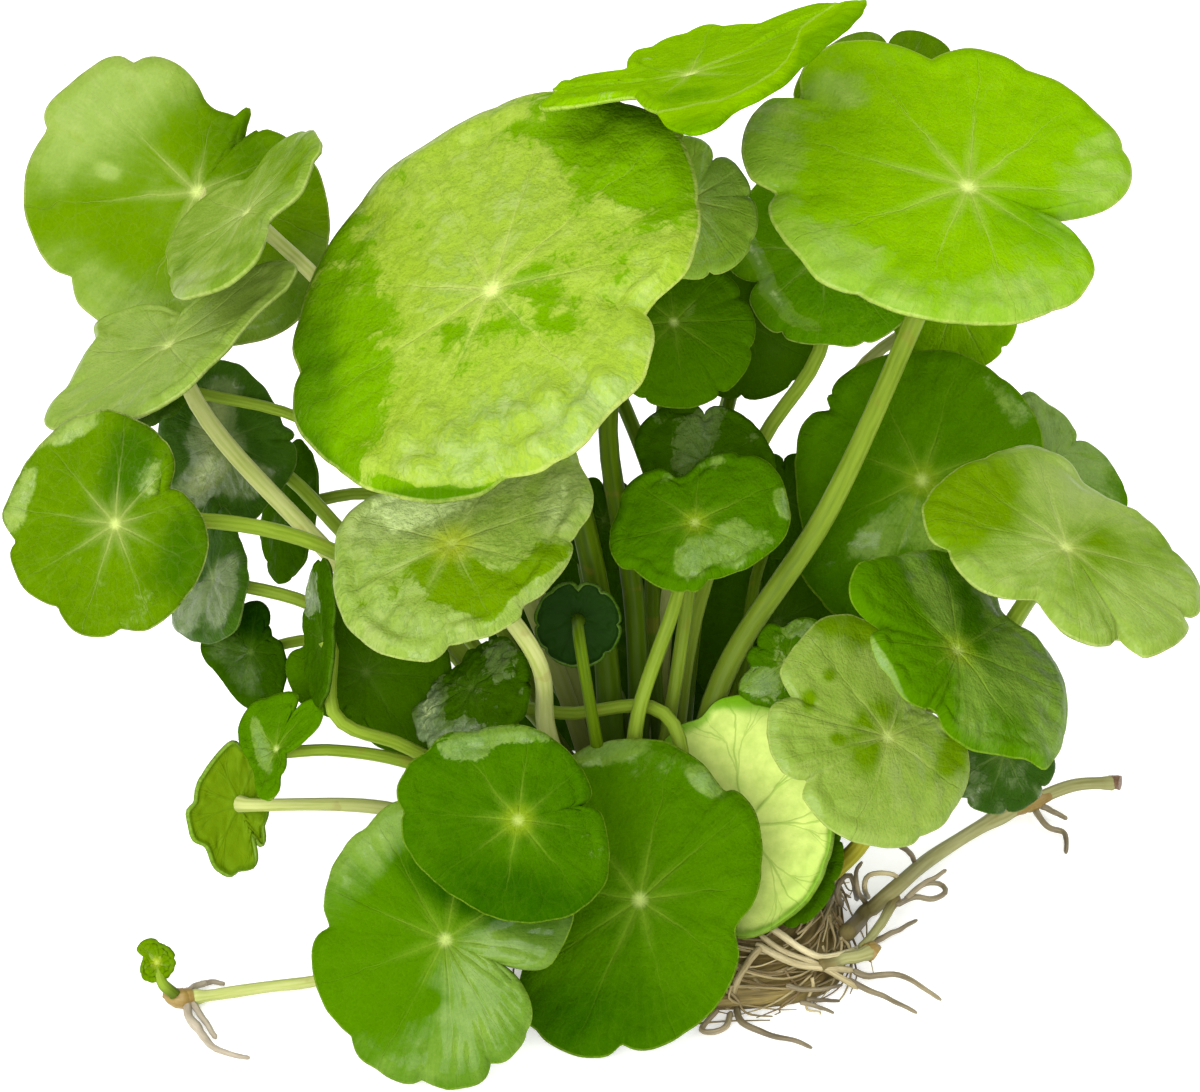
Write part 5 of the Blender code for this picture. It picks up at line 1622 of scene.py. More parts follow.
@dataclass(frozen=True)
class StalkSkin:
    """A stalk or runner: fine ribs along it, paler and darker stretches, small brown marks and painted shade
    at its foot.
    """

    name: str
    light: Colour
    dark: Colour
    # the colour of the painted shade at the foot
    foot: Colour
    mark: Colour = tint(120, 96, 40)
    marks: float = 0.25
    ribs: int = 9
    roughness: float = 0.4
    gloss: float = 0.05
    bump: float = 0.4
    bump_depth: float = 0.0002

    def material(self) -> bpy.types.Material:
        """Makes the finish.

        Returns:
            The material.
        """
        graph = Graph(self.name)
        mix, ramp, times, times_plus = graph.mix, graph.ramp, graph.times, graph.times_plus
        strand = graph.uv("veins")
        parts = graph.add("SeparateXYZ", {"Vector": strand})
        ribs = graph.math("SINE", times(parts.outputs["X"], self.ribs * TURN))
        ribs = ramp(ribs, -1.0, 1.0)
        streak = graph.noise(graph.stretched(strand, 7.0, 1.2), 1.6, 3.0)
        tone = times_plus(ribs, 0.12, times(streak, 0.9))
        colour = mix(ramp(tone, 0.3, 0.85), self.light, self.dark)
        # painted shade: darker towards the foot, low in the clump
        low = ramp(graph.value("gloom"), 0.05, 0.5, 0.95, 0.0)
        colour = mix(low, colour, self.foot)
        spots = graph.noise(graph.object_place(), 420.0, 2.0)
        colour = mix(ramp(spots, 0.64, 0.72, 0.0, self.marks), colour, self.mark)
        graph.finish(colour, self.roughness, self.gloss)
        graph.bump(times_plus(ribs, -0.25, times(streak, 0.4)), self.bump, self.bump_depth)
        return graph.material


@dataclass(frozen=True)
class RootSkin:
    """Roots: streaked along their length, darker and lighter from strand to strand, with a wet shine."""

    name: str
    light: Colour
    dark: Colour
    roughness: float = 0.4
    gloss: float = 0.35
    bump: float = 0.6
    bump_depth: float = 0.0003

    def material(self) -> bpy.types.Material:
        """Makes the finish.

        Returns:
            The material.
        """
        graph = Graph(self.name)
        mix, ramp, times, times_plus = graph.mix, graph.ramp, graph.times, graph.times_plus
        place = graph.object_place()
        grain = graph.noise(graph.stretched(graph.uv("veins"), 4.0, 1.5), 3.0, 4.0, 0.6)
        broad = graph.noise(place, 160.0, 2.0)
        tone = times_plus(grain, 0.6, times(broad, 0.5))
        tone = times_plus(graph.value("sheen"), 0.35, tone)
        colour = mix(ramp(tone, 0.3, 0.85), self.dark, self.light)
        graph.finish(colour, self.roughness, self.gloss)
        graph.bump(grain, self.bump, self.bump_depth)
        return graph.material


FINISHES = (
    # painted light and shade: the leaf skins are lit and shaded copies, from sunlit to deep shade
    LeafSkin(Tone.SUNLIT.value, leaf_tint(124, 178, 0), leaf_tint(80, 130, 0), leaf_tint(176, 206, 56),
             leaf_tint(216, 230, 118), leaf_tint(176, 202, 116), creases=0.3),
    LeafSkin(Tone.FRESH.value, leaf_tint(150, 204, 0), leaf_tint(88, 150, 0), leaf_tint(156, 198, 60),
             leaf_tint(212, 230, 112), leaf_tint(160, 196, 96)),
    LeafSkin(Tone.SOFT.value, leaf_tint(112, 152, 0), leaf_tint(60, 104, 0), leaf_tint(158, 188, 76),
             leaf_tint(200, 216, 118), leaf_tint(172, 192, 108), spot=0.6),
    LeafSkin(Tone.SHADED.value, leaf_tint(82, 132, 0), leaf_tint(38, 86, 0), leaf_tint(134, 170, 62),
             leaf_tint(150, 186, 50), leaf_tint(142, 178, 92), spot=0.5),
    # painted shade: the skin of leaves deep in the clump
    LeafSkin(Tone.DEEP_SHADE.value, leaf_tint(68, 110, 0), leaf_tint(18, 56, 0), leaf_tint(118, 146, 70),
             leaf_tint(96, 136, 34), leaf_tint(150, 172, 120), spot=0.05),
    LeafSkin(Tone.WET.value, leaf_tint(74, 118, 0), leaf_tint(26, 66, 0), leaf_tint(140, 164, 96),
             leaf_tint(140, 170, 80), leaf_tint(186, 202, 126), spot=0.1, wet=0.2, gloss=0.05, film=0.4),
    UnderSkin(Under.PALE.value, tint(190, 206, 110), tint(92, 140, 6), 0.06, 0.42),
    UnderSkin(Under.GREEN.value, leaf_tint(122, 158, 0), leaf_tint(92, 130, 0), 0.03, 0.25),
    # painted shade: the darker underside skin for a leaf deep in the clump
    UnderSkin(Under.DARK.value, leaf_tint(30, 66, 0), leaf_tint(20, 52, 0), 0.05, 0.2),
    StalkSkin(Stem.PALE.value, leaf_tint(216, 222, 140), leaf_tint(180, 196, 88), leaf_tint(130, 140, 60)),
    StalkSkin(Stem.GREEN.value, leaf_tint(156, 184, 56), leaf_tint(122, 152, 26), leaf_tint(84, 104, 16)),
    StalkSkin(Stem.OLIVE.value, leaf_tint(186, 184, 56), leaf_tint(150, 144, 26), leaf_tint(124, 112, 20)),
    StalkSkin(Stem.GREY.value, leaf_tint(190, 190, 130), leaf_tint(156, 154, 88), leaf_tint(130, 116, 70)),
    # painted shade: the darker stalk skin for stalks deep in the clump
    StalkSkin(Stem.DARK.value, leaf_tint(106, 136, 8), leaf_tint(74, 104, 0), leaf_tint(50, 78, 0)),
    RootSkin("root_fibre", tint(150, 138, 106), tint(76, 66, 44)),
    RootSkin("root_hair", tint(178, 164, 118), tint(100, 82, 44)),
    RootSkin("root_bold", tint(196, 186, 144), tint(132, 118, 78)),
    RootSkin("root_pale", leaf_tint(214, 202, 176), leaf_tint(150, 134, 108)),
    RootSkin("root_core", tint(148, 130, 66), tint(66, 52, 16), 0.6),
    RootSkin("bud_orange", leaf_tint(206, 184, 100), leaf_tint(156, 124, 50)),
    RootSkin("bud_brown", leaf_tint(166, 126, 90), leaf_tint(104, 78, 60)),
)


@dataclass
class Foliage:
    """All the leaves: cuts each blade from the blank of its size, shapes it and joins its stalk.

    Each entry of blanks is the least radius in mm that a blank serves, and its number of spokes and rings.
    """

    blanks: tuple[tuple[float, int, int], ...] = ((11.0, 220, 36), (7.4, 150, 24), (0.0, 100, 16))
    thickness: float = 0.4
    uv_unit: float = 10.0
    common_radius: float = 10.0
    turned_limit: float = 4.0
    stalk_sides: int = 14
    stalk_rings: int = 30
    stalk_foot: float = 1.12
    stalk_taper: float = 0.24
    stalk_swell: float = 0.03

    def build(self, skins: Skins) -> list[bpy.types.Object]:
        """Makes every leaf and lets each replace its solid.

        Args:
            skins: the finishes by name.

        Returns:
            The leaves.
        """
        blanks = [(least, BladeBlank(spokes, rings)) for least, spokes, rings in self.blanks]
        tube = TubeBlank(self.stalk_sides, self.stalk_rings)
        spots = MAT.feet([leaf for leaf in LEAVES if not leaf.rooted])
        made = []
        for leaf in LEAVES:
            blank = next(blank for least, blank in blanks if leaf.radius >= least)
            blade = self.blade(leaf, blank, skins)
            stalk = self.stalk(leaf, spots.get(leaf.name), tube, skins)
            join_into(blade, [stalk])
            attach(blade, "root")
            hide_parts(leaf.name)
            LOG.info("%s: %d faces", leaf.name, len(blade.data.polygons))
            made.append(blade)
        return made

    def blade(self, leaf: Leaf, blank: BladeBlank, skins: Skins) -> bpy.types.Object:
        """Shapes one blade from a copy of the blank and gives it thickness.

        Args:
            leaf: the leaf.
            blank: the round to copy.
            skins: the finishes by name.

        Returns:
            The blade.
        """
        mesh = blank.mesh.copy()
        even, uneven = leaf.spread
        theta = np.interp(blank.theta, even, uneven)
        corner_theta = np.interp(blank.corner_theta, even, uneven)
        places = leaf.surface(blank.rho, theta)
        mesh.vertices.foreach_set("co", (places * MM).ravel())
        corner_rho = blank.rho[blank.owners]
        write_uv(mesh, "veins", np.stack([leaf.phase(corner_theta), corner_rho], axis=-1))
        reach = leaf.rim(corner_theta) * corner_rho / self.uv_unit
        shift = dice_of(leaf.name).uniform(0, 40, 2)
        flat = np.stack([reach * np.cos(corner_theta), reach * np.sin(corner_theta)], axis=-1)
        write_uv(mesh, "blade", flat + shift)
        # painted light: the sheen spots paint a pale reflection and the gloom spots paint shade, where each
        # point is seen
        seen = VIEW.flat(places)
        sheen = np.full(len(places), leaf.painted_sheen)
        for spot in leaf.sheen:
            sheen = sheen + spot.cover(seen)
        gloom = np.full(len(places), leaf.dark)
        for spot in leaf.gloom:
            gloom = gloom + spot.cover(seen)
        write_attribute(mesh, "sheen", sheen)
        write_attribute(mesh, "gloom", gloom)
        for name in ("crisp", "glow"):
            write_attribute(mesh, name, np.full(len(places), getattr(leaf, name)))
        shrink = (self.common_radius / leaf.radius) ** 0.7
        write_attribute(mesh, "reach", leaf.rim(theta) * blank.rho * shrink)
        if leaf.turned:
            bend = middle_plane(leaf.turned)
            over = np.interp(seen[:, 0], bend[:, 0], bend[:, 1], left=-9.0) - seen[:, 1]
            write_attribute(mesh, "turned", np.clip(over, 0.0, self.turned_limit))
        bounds = np.array([notch[0] for notch in leaf.notches] + [TURN])
        widths = np.diff(bounds)
        index = np.clip(np.searchsorted(bounds, theta, side="right") - 1, 0, len(widths) - 1)
        write_attribute(mesh, "sector", widths[index] * leaf.rim(theta) * blank.rho)
        mesh.shade_smooth()
        made = link(leaf.name + "_skin", mesh)
        mesh.materials.append(skins[leaf.tone.value])
        mesh.materials.append(skins[leaf.under.value])
        shell = made.modifiers.new("Thickness", "SOLIDIFY")
        shell.thickness = self.thickness * MM
        shell.offset = 0.0
        shell.material_offset = 1
        bpy.ops.object.modifier_apply(modifier=shell.name)
        return made

    def stalk(self, leaf: Leaf, spot: np.ndarray | None, blank: TubeBlank,
              skins: Skins) -> bpy.types.Object:
        """Bends one stalk from a copy of the blank.

        Args:
            leaf: the leaf that it holds.
            spot: x and y of its foot in mm, or None where it starts elsewhere.
            blank: the tube to copy.
            skins: the finishes by name.

        Returns:
            The stalk.
        """
        dice = dice_of(leaf.name + "_stalk")
        line = stalk_line(leaf, spot, self.stalk_rings)
        share = np.linspace(0, 1, self.stalk_rings)
        radii = leaf.stalk_radius * (self.stalk_foot - self.stalk_taper * share)
        radii = radii * (1 + self.stalk_swell * np.sin(share * 17 + dice.uniform(0, TURN)))
        radii[0] *= 0.6
        radii[-1] *= 1.35
        radii[-2] *= 1.1
        mesh = bundle(leaf.name + "_stalk", blank, [Tube(line, radii, dice.uniform(-0.3, 0.3))])
        mesh.materials.append(skins[leaf.stem.value])
        return link(leaf.name + "_stalk", mesh)


@dataclass(frozen=True)
class Strand:
    """A runner or a root: a tapering strand through points of the picture, each with its height in mm.

    A height of None lays the strand on the root mat. Nodes are swellings: share along, swell and width. Parts
    are the smaller strands that belong to it.
    """

    name: str
    places: tuple[tuple[float, float, float | None], ...]
    start_radius: float
    end_radius: float
    skin: str = "root_fibre"
    nodes: tuple[tuple[float, float, float], ...] = ()
    wobble: float = 0.04
    parts: tuple["Strand", ...] = ()

    def tube(self, rings: int) -> Tube:
        """Bends and swells the strand.

        Args:
            rings: how many points its line has.

        Returns:
            Its middle line and radii.
        """
        dice = dice_of(self.name)
        line = smooth_line([MAT.place(*place) for place in self.places], rings)
        share = np.linspace(0, 1, rings)
        for axis in range(3):
            size = self.wobble * (1 if axis < 2 else 0.4)
            sway = np.sin(share * dice.uniform(9, 18) + dice.uniform(0, TURN))
            line[:, axis] += size * sway * np.sin(math.pi * share)
        radii = self.start_radius + (self.end_radius - self.start_radius) * share
        radii = radii * (1 + 0.03 * np.sin(share * 31 + dice.uniform(0, TURN)))
        for place, swell, width in self.nodes:
            radii = radii * (1 + (swell - 1) * np.exp(-(((share - place) / width) ** 2)))
        radii[0] *= 0.5
        radii[-1] *= 0.6
        line[:, 2] = np.maximum(line[:, 2], radii + GROUND_GAP)
        return Tube(line, radii, dice.uniform(-0.4, 0.4))


MAT_ROOTS = (
    Strand("laid_high", ((768, 926, None), (780, 934, None), (800, 948, None), (822, 957, None),
        (846, 953, None), (866, 945, None)), 0.36, 0.3, "root_bold"),
    Strand("laid_long", ((756, 944, None), (776, 955, None), (800, 965, None), (828, 968, None),
        (852, 970, None)), 0.36, 0.34, "root_bold"),
    Strand("laid_left", ((762, 946, None), (748, 962, None), (738, 980, None), (731, 1000, 0.8),
        (727, 1008, 0.6)), 0.36, 0.3, "root_bold"),
    Strand("laid_low", ((760, 935, None), (784, 952, None), (812, 962, None), (838, 976, None),
        (858, 988, None)), 0.3, 0.3, "root_bold"),
    Strand("laid_ball", ((786, 985, None), (806, 990, None), (828, 988, None), (842, 985, None)), 0.26, 0.16),
    Strand("loop_high", ((868, 898, None), (864, 886, 4.6), (868, 876, 5.2), (882, 873, 5.2), (894, 875, 4.6),
        (901, 882, 3.6)), 0.28, 0.24, "root_bold"),
    Strand("loop_left", ((842, 906, None), (837, 893, 5.4), (841, 880, 6.2), (849, 875, 6.4), (854, 884, 5.6),
        (857, 900, None)), 0.3, 0.24),
    Strand("loop_back", ((866, 904, None), (858, 890, 5.8), (856, 872, 7), (862, 862, 7.4)), 0.3, 0.2),
    Strand("knot_one", ((896, 905, 3), (915, 897, 2.2), (932, 899, 1.8), (945, 892, 1.8), (940, 884, 2),
        (925, 884, 2.4), (912, 893, 2.6)), 0.3, 0.24),
    Strand("knot_two", ((905, 900, 2.6), (920, 886, 2.6), (934, 878, 2.4), (946, 870, 2.4)), 0.3, 0.2),
    Strand("curl", ((900, 846, 6), (909, 852, 5), (915, 862, 3.6), (920, 872, 2.8)), 0.28, 0.24),
    Strand("short_one", ((806, 999, None), (820, 1000, 0.8), (840, 1001, 0.6)), 0.26, 0.14),
    Strand("short_two", ((800, 1002, None), (816, 1006, 0.6), (834, 1013, 0.45)), 0.26, 0.14),
    Strand("stump", ((818, 966, None), (842, 960, None), (862, 954, 2.6), (874, 951, 2.4)), 0.6, 0.62,
        Stem.GREY.value, ((0.9, 1.2, 0.1),), 0.1),
)


@dataclass
class RootBall:
    """The root mat: a matted core under fine roots that lie round it in hanks, with bolder roots on top.

    Pairs are the least and the most of what is drawn at random: angles in radians, and radii in mm.
    """

    dome_sides: int = 128
    dome_rings: int = 64
    sides: int = 6
    rings: int = 20
    hanks: int = 46
    strands: int = 9
    strays: int = 46
    bold_sides: int = 10
    bold_rings: int = 26
    core: float = 0.93
    hank_seed: int = 7
    hank_start: tuple[float, float] = (0.1, 1.2)
    hank_slope: tuple[float, float] = (-0.5, 0.25)
    hank_length: tuple[float, float] = (0.5, 1.2)
    hank_limits: tuple[float, float] = (0.03, 1.5)
    hank_radius: tuple[float, float] = (0.06, 0.17)
    stray_seed: int = 11
    stray_turn: tuple[float, float] = (-0.5, 0.5)
    stray_radius: tuple[float, float] = (0.1, 0.2)

    def build(self, skins: Skins) -> bpy.types.Object:
        """Makes the root mat and lets it replace its solid.

        Args:
            skins: the finishes by name.

        Returns:
            The root mat.
        """
        core = self.dome()
        core.data.materials.append(skins["root_core"])
        blank = TubeBlank(self.sides, self.rings)
        thick = TubeBlank(self.bold_sides, self.bold_rings)
        pieces = [(self.hank_tubes() + self.stray_tubes(), blank, "root_hair")]
        for skin in ("root_fibre", "root_bold", Stem.GREY.value):
            roots = [root.tube(self.bold_rings) for root in MAT_ROOTS if root.skin == skin]
            pieces.append((roots, thick, skin))
        made = []
        for tubes, tube_blank, skin in pieces:
            piece = link("roots", bundle("roots", tube_blank, tubes))
            piece.data.materials.append(skins[skin])
            made.append(piece)
        join_into(core, made)
        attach(core, "root")
        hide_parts("root_mat")
        LOG.info("root_mat: %d faces", len(core.data.polygons))
        return core

    def dome(self) -> bpy.types.Object:
        """Models the core: the upper half of a ball, spread to the mat's outline and made lumpy.

        Returns:
            The core, before it is given a finish.
        """
        clear_selection()
        bpy.ops.mesh.primitive_uv_sphere_add(segments=self.dome_sides, ring_count=self.dome_rings, radius=1.0)
        made = bpy.context.object
        bpy.ops.object.mode_set(mode="EDIT")
        bpy.ops.mesh.select_all(action="SELECT")
        bpy.ops.mesh.bisect(plane_co=(0, 0, 0), plane_no=(0, 0, 1), clear_inner=True, use_fill=True)
        bpy.ops.object.mode_set(mode="OBJECT")
        places = read_vectors(made.data.vertices, "co")
        theta = np.arctan2(places[:, 1], places[:, 0])
        steep = np.arcsin(np.clip(places[:, 2], 0, 1))
        lump = 1 + 0.03 * np.sin(5 * theta + 4 * steep) + 0.02 * np.sin(23 * steep - 4 * theta)
        lump = lump + 0.012 * np.sin(41 * steep + 9 * theta)
        reach = MAT.edge(theta) * self.core * lump
        x = MAT.centre[0] + places[:, 0] * reach
        y = MAT.centre[1] + places[:, 1] * reach
        z = np.maximum(places[:, 2] * MAT.height * self.core * lump, GROUND_GAP)
        made.data.vertices.foreach_set("co", (np.stack([x, y, z], axis=-1) * MM).ravel())
        made.data.shade_smooth()
        for name in [layer.name for layer in made.data.uv_layers]:
            made.data.uv_layers.remove(made.data.uv_layers[name])
        owners = np.empty(len(made.data.loops), int)
        made.data.loops.foreach_get("vertex_index", owners)
        wound = np.stack([steep * 2.5, np.abs(theta) * 1.2], axis=-1)[owners]
        write_uv(made.data, "veins", wound)
        write_uv(made.data, "blade", wound)
        for name in ("sheen", "gloom"):
            write_attribute(made.data, name, np.zeros(len(places)))
        made.name = "root_ball"
        made.data.name = "root_ball"
        return made

    def hank_tubes(self) -> list[Tube]:
        """Lays fine roots over the mat in hanks, each a few roots that run side by side.

        Returns:
            The roots.
        """
        dice = np.random.default_rng(self.hank_seed)
        tubes = []
        for _ in range(self.hanks):
            start = dice.uniform(0, TURN)
            height = dice.uniform(*self.hank_start)
            slope = dice.uniform(*self.hank_slope)
            length = dice.uniform(*self.hank_length)
            wobble = dice.uniform(0, TURN, 2)
            for _ in range(self.strands):
                shift, rise = dice.normal(0, 0.06), dice.normal(0, 0.09)
                thick = dice.uniform(*self.hank_radius)
                step = np.linspace(0, 1, 10)
                turn = start + shift + length * step
                steep = height + rise + slope * step + 0.06 * np.sin(5 * step + wobble[0])
                steep = steep + dice.uniform(0.02, 0.05) * np.sin(11 * step + dice.uniform(0, TURN))
                steep = np.clip(steep, *self.hank_limits)
                lift = dice.uniform(-0.1, 0.35) + 0.12 * np.sin(8 * step + wobble[1])
                reach = MAT.edge(turn) * self.core * np.cos(steep) + lift
                x = MAT.centre[0] + reach * np.cos(turn)
                y = MAT.centre[1] + reach * np.sin(turn)
                z = np.maximum(MAT.height * self.core * np.sin(steep) + 0.5 + lift, 0.3)
                radii = thick * np.sin(math.pi * np.linspace(0.12, 0.94, self.rings)) ** 0.5
                line = smooth_line(list(np.stack([x, y, z], axis=-1)), self.rings)
                tubes.append(Tube(line, radii, dice.uniform(-0.7, 0.7)))
        return tubes

    def stray_tubes(self) -> list[Tube]:
        """Lets some fine roots stray from the mat's foot over the ground.

        Returns:
            The roots.
        """
        dice = np.random.default_rng(self.stray_seed)
        tubes = []
        for _ in range(self.strays):
            theta = dice.normal(MAT.bulge_toward, 0.9)
            step = np.linspace(0, 1, 7)
            turn = theta + dice.uniform(*self.stray_turn) * step ** 2
            turn = turn + 0.03 * np.sin(7 * step + dice.uniform(0, TURN))
            out = dice.uniform(0.82, 0.95) + dice.uniform(0.05, 0.16) * step
            reach = MAT.edge(turn) * out
            height = MAT.height * np.sqrt(np.clip(1 - out ** 2, 0, 1)) * 0.9 * (1 - 0.7 * step)
            z = np.maximum(height, 0.24 + 0.1 * (1 + np.sin(8 * step + dice.uniform(0, TURN))))
            x = MAT.centre[0] + reach * np.cos(turn)
            y = MAT.centre[1] + reach * np.sin(turn)
            thick = dice.uniform(*self.stray_radius)
            radii = np.linspace(thick, thick * 0.4, self.rings)
            line = smooth_line(list(np.stack([x, y, z], axis=-1)), self.rings)
            tubes.append(Tube(line, radii, dice.uniform(-0.7, 0.7)))
        return tubes


STRANDS = (
    Strand("stolon_right", ((845, 935, None), (866, 914, None), (893, 890, 3.7), (933, 857, 2.6),
        (985, 824, 1.9), (1033, 801, 1.8), (1075, 785, 2.6), (1118, 783, 3.6)), 0.8, 0.6, Stem.GREY.value,
        ((0.7, 1.3, 0.04), (0.985, 1.25, 0.02)),
        parts=(Strand("stolon_node", ((1010, 812, 1.75), (1024, 805, 1.75), (1038, 800, 1.8),
        (1052, 794, 2.1)), 0.6, 0.5, "bud_orange", ((0.5, 1.7, 0.3),)), Strand("stolon_end",
        ((1108, 782, 3.4), (1114, 782, 3.5), (1121, 783, 3.6)), 0.62, 0.74, "bud_brown"), Strand("peg",
        ((898, 896, 3), (886, 915, 2.6), (872, 936, 2.3), (860, 948, 2.4)), 0.5, 0.4, Stem.GREY.value),
        Strand("bud", ((864, 951, 2.6), (871, 951, 2.4), (876, 955, 2.1)), 0.6, 0.8, "bud_orange",
        ((0.6, 1.3, 0.4),)))),
    Strand("runner_left", ((455, 928, 1.6), (385, 960, 1), (322, 979, 0.8), (267, 987, 0.8),
        (205, 996, 1), (188, 997, 1.1)), 0.52, 0.56, Stem.PALE.value, ((0.97, 1.35, 0.02),),
        parts=(Strand("tip_node", ((194, 996, 1.1), (184, 998, 1.1), (175, 998, 1.15), (166, 992, 1.3)), 0.8,
        0.6, "bud_orange", ((0.45, 1.35, 0.3),)), Strand("tip_root", ((187, 1002, 0.9), (189, 1016, 0.7),
        (198, 1029, 0.6), (208, 1042, 0.5)), 0.42, 0.36, "root_pale", ((0.55, 1.25, 0.1),)),
        Strand("tip_side", ((192, 1002, 0.9), (202, 1017, 0.6), (210, 1029, 0.5), (216, 1038, 0.4)), 0.34,
        0.24, "root_pale"), Strand("tip_back", ((188, 992, 1), (196, 986, 0.8), (206, 983, 0.7)), 0.36, 0.3,
        "root_pale"))),
    Strand("root_right_high", ((866, 945, None), (886, 936, 1.1), (902, 928, 0.8), (917, 920, 0.5)), 0.32,
        0.18),
    Strand("root_right_long", ((852, 970, None), (866, 976, 0.9), (882, 975, 0.6), (900, 975, 0.55),
        (925, 989, 0.5), (941, 1000, 0.45)), 0.34, 0.2),
    Strand("root_right_low", ((846, 979, None), (862, 987, 0.6), (878, 994, 0.5), (896, 1002, 0.5),
        (917, 1013, 0.45)), 0.32, 0.18),
    Strand("root_front_long", ((736, 1008, 0.7), (742, 1022, 0.6), (767, 1034, 0.55), (796, 1041, 0.5),
        (812, 1048, 0.45)), 0.36, 0.2),
    Strand("root_front_curl", ((731, 1012, 0.6), (726, 1026, 0.6), (714, 1032, 0.5), (702, 1030, 0.45),
        (708, 1020, 0.5), (718, 1010, 0.6)), 0.3, 0.26),
    Strand("root_stolon_drop", ((1034, 808, 1.2), (1041, 819, 0.7), (1050, 828, 0.5), (1065, 834, 0.45),
        (1066, 853, 0.4)), 0.34, 0.22),
    Strand("root_stolon_side", ((1038, 804, 1.3), (1052, 811, 0.9), (1060, 815, 0.7), (1067, 819, 0.6)), 0.34,
        0.22),
    Strand("root_runner_tip", ((204, 1037, 0.5), (213, 1047, 0.45), (230, 1054, 0.4), (250, 1058, 0.35)),
        0.36, 0.2, "root_pale"),
    Strand("root_runner_side", ((200, 984, 0.7), (213, 982, 0.5), (225, 984, 0.4)), 0.32, 0.2, "root_pale"),
)


def join_into(keeper: bpy.types.Object, others: list[bpy.types.Object]) -> None:
    """Joins pieces into one that keeps its name and place.

    Args:
        keeper: the piece that stays.
        others: the pieces that become part of it.
    """
    clear_selection()
    for other in others:
        other.select_set(True)
    keeper.select_set(True)
    bpy.context.view_layer.objects.active = keeper
    bpy.ops.object.join()


@dataclass
class Runners:
    """The runners and free roots, each a strand that bends, tapers and swells at its nodes."""

    runner_sides: int = 16
    runner_rings: int = 72
    root_sides: int = 10
    root_rings: int = 24

    def build(self, skins: Skins) -> list[bpy.types.Object]:
        """Makes every strand and lets each replace its solid.

        Args:
            skins: the finishes by name.

        Returns:
            The strands.
        """
        thick = TubeBlank(self.runner_sides, self.runner_rings)
        thin = TubeBlank(self.root_sides, self.root_rings)
        made = []
        for strand in STRANDS:
            piece = self.piece(strand, thick if strand.parts else thin, skins)
            if strand.parts:
                join_into(piece, [self.piece(part, thin, skins) for part in strand.parts])
            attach(piece, "root")
            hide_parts(strand.name)
            LOG.info("%s: %d faces", strand.name, len(piece.data.polygons))
            made.append(piece)
        return made

    def piece(self, strand: Strand, blank: TubeBlank, skins: Skins) -> bpy.types.Object:
        """Makes one strand.

        Args:
            strand: its course, sizes and finish.
            blank: the tube to copy.
            skins: the finishes by name.

        Returns:
            The strand.
        """
        made = link(strand.name + "_skin", bundle(strand.name, blank, [strand.tube(blank.rings)]))
        made.data.materials.append(skins[strand.skin])
        return made


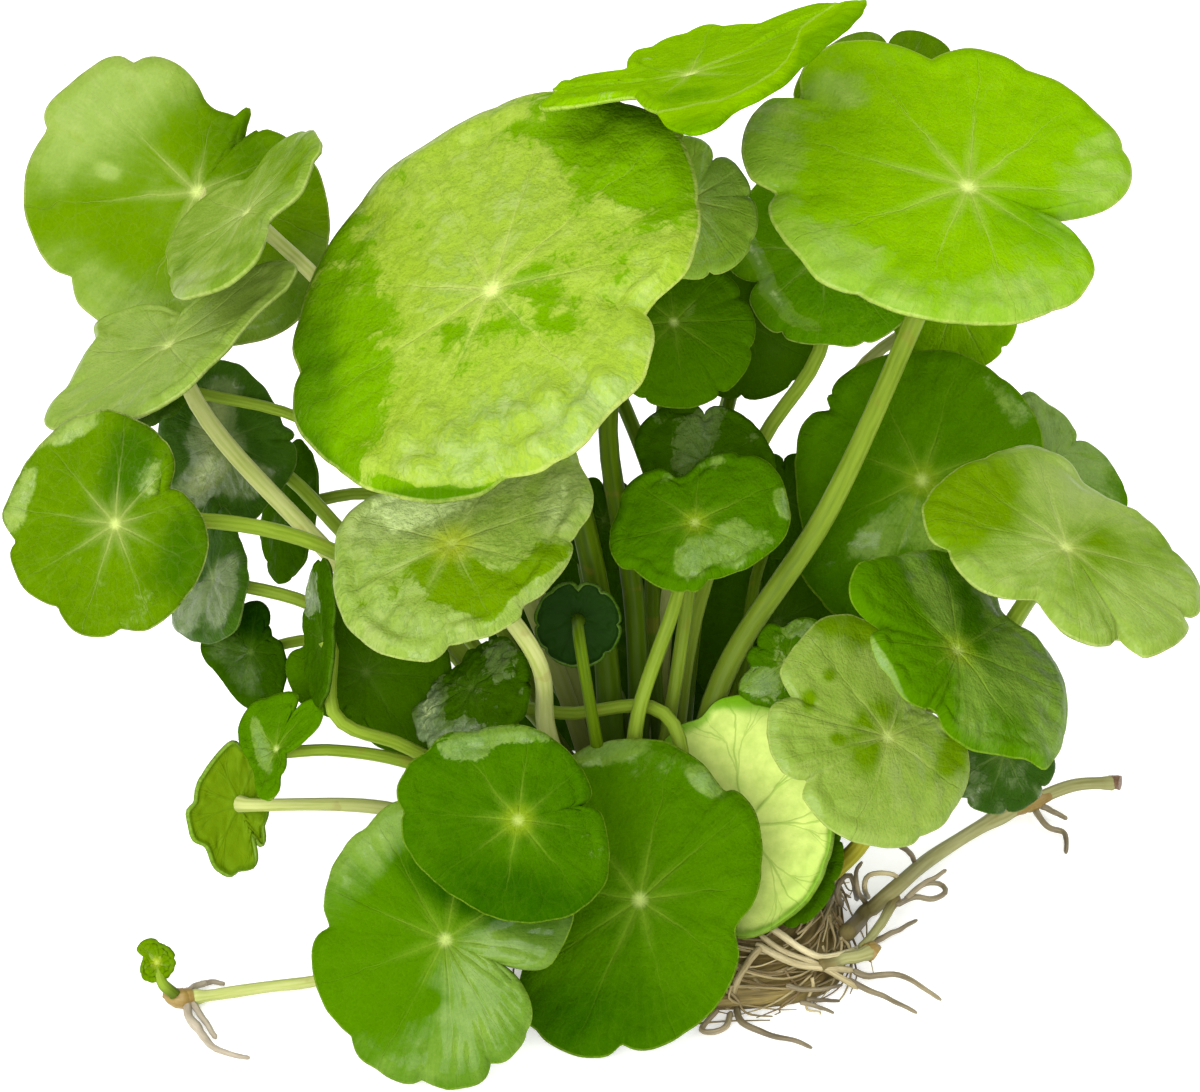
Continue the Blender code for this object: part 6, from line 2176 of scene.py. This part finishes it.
@dataclass
class Studio:
    """A pale floor, soft light from above and the camera. Sizes and places are in metres."""

    white: Colour = (1.0, 1.0, 1.0, 1.0)
    floor_size: float = 3.0
    floor_light: Colour = tint(240, 240, 238)
    floor_dark: Colour = tint(225, 225, 222)
    floor_roughness: float = 0.9
    floor_glow: float = 0.35
    sky: float = 0.95
    key_power: float = 2.4
    fill_share: float = 0.45
    front_power: float = 3.1
    aim: tuple[float, float, float] = (0.0, 0.0, 0.03)

    def build(self) -> None:
        """Sets the floor, the lights and the camera."""
        clear_selection()
        bpy.ops.mesh.primitive_plane_add(size=self.floor_size, location=(0.0, 0.0, 0.0))
        floor = bpy.context.object
        floor.name = "studio_floor"
        graph = Graph("studio_floor")
        grain = graph.noise(graph.object_place(), 30.0, 3.0)
        paper = graph.mix(graph.ramp(grain, 0.2, 0.8, 0.0, 0.04), self.floor_light, self.floor_dark)
        graph.finish(paper, self.floor_roughness, 0.0)
        graph.shader.inputs["Emission Color"].default_value = self.white
        graph.shader.inputs["Emission Strength"].default_value = self.floor_glow
        floor.data.materials.append(graph.material)
        world = bpy.data.worlds.new("studio_sky")
        world.use_nodes = True
        sky = world.node_tree.nodes["Background"]
        sky.inputs["Color"].default_value = self.white
        sky.inputs["Strength"].default_value = self.sky
        bpy.context.scene.world = world
        self.light("key", (-0.22, -0.18, 0.42), 0.5, self.key_power)
        self.light("fill", (0.34, 0.1, 0.34), 0.4, self.key_power * self.fill_share)
        self.light("front", (-0.08, -0.52, 0.26), 0.36, self.front_power)
        self.camera()
        scene = bpy.context.scene
        scene.view_settings.view_transform = "Standard"
        scene.view_settings.look = "None"

    def light(self, name: str, place: tuple[float, float, float], size: float, power: float) -> None:
        """Hangs a soft square light that faces the clump.

        Args:
            name: its name.
            place: where it hangs in metres.
            size: its side in metres.
            power: its power in watts.
        """
        lamp = bpy.data.lights.new(name, "AREA")
        lamp.energy = power
        lamp.size = size
        made = bpy.data.objects.new(name, lamp)
        bpy.context.scene.collection.objects.link(made)
        made.location = place
        way = Vector(self.aim) - Vector(place)
        made.rotation_euler = way.to_track_quat("-Z", "Y").to_euler()

    def camera(self) -> None:
        """Sets the camera where the view looks from."""
        lens = bpy.data.cameras.new("camera")
        lens.sensor_width = VIEW.sensor
        lens.lens = VIEW.lens
        lens.clip_start = 0.01
        made = bpy.data.objects.new("camera", lens)
        bpy.context.scene.collection.objects.link(made)
        turned = Matrix((VIEW.right, VIEW.up, -VIEW.away)).transposed().to_4x4()
        made.matrix_world = Matrix.Translation(Vector(VIEW.eye * MM)) @ turned
        bpy.context.scene.camera = made


def main() -> None:
    """Builds the studio and the plant; each piece logs its number of faces."""
    logging.basicConfig(level=logging.INFO, format="%(message)s")
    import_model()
    skins = {finish.name: finish.material() for finish in FINISHES}
    Studio().build()
    Foliage().build(skins)
    RootBall().build(skins)
    Runners().build(skins)
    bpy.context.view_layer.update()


if __name__ == "__main__":
    main()
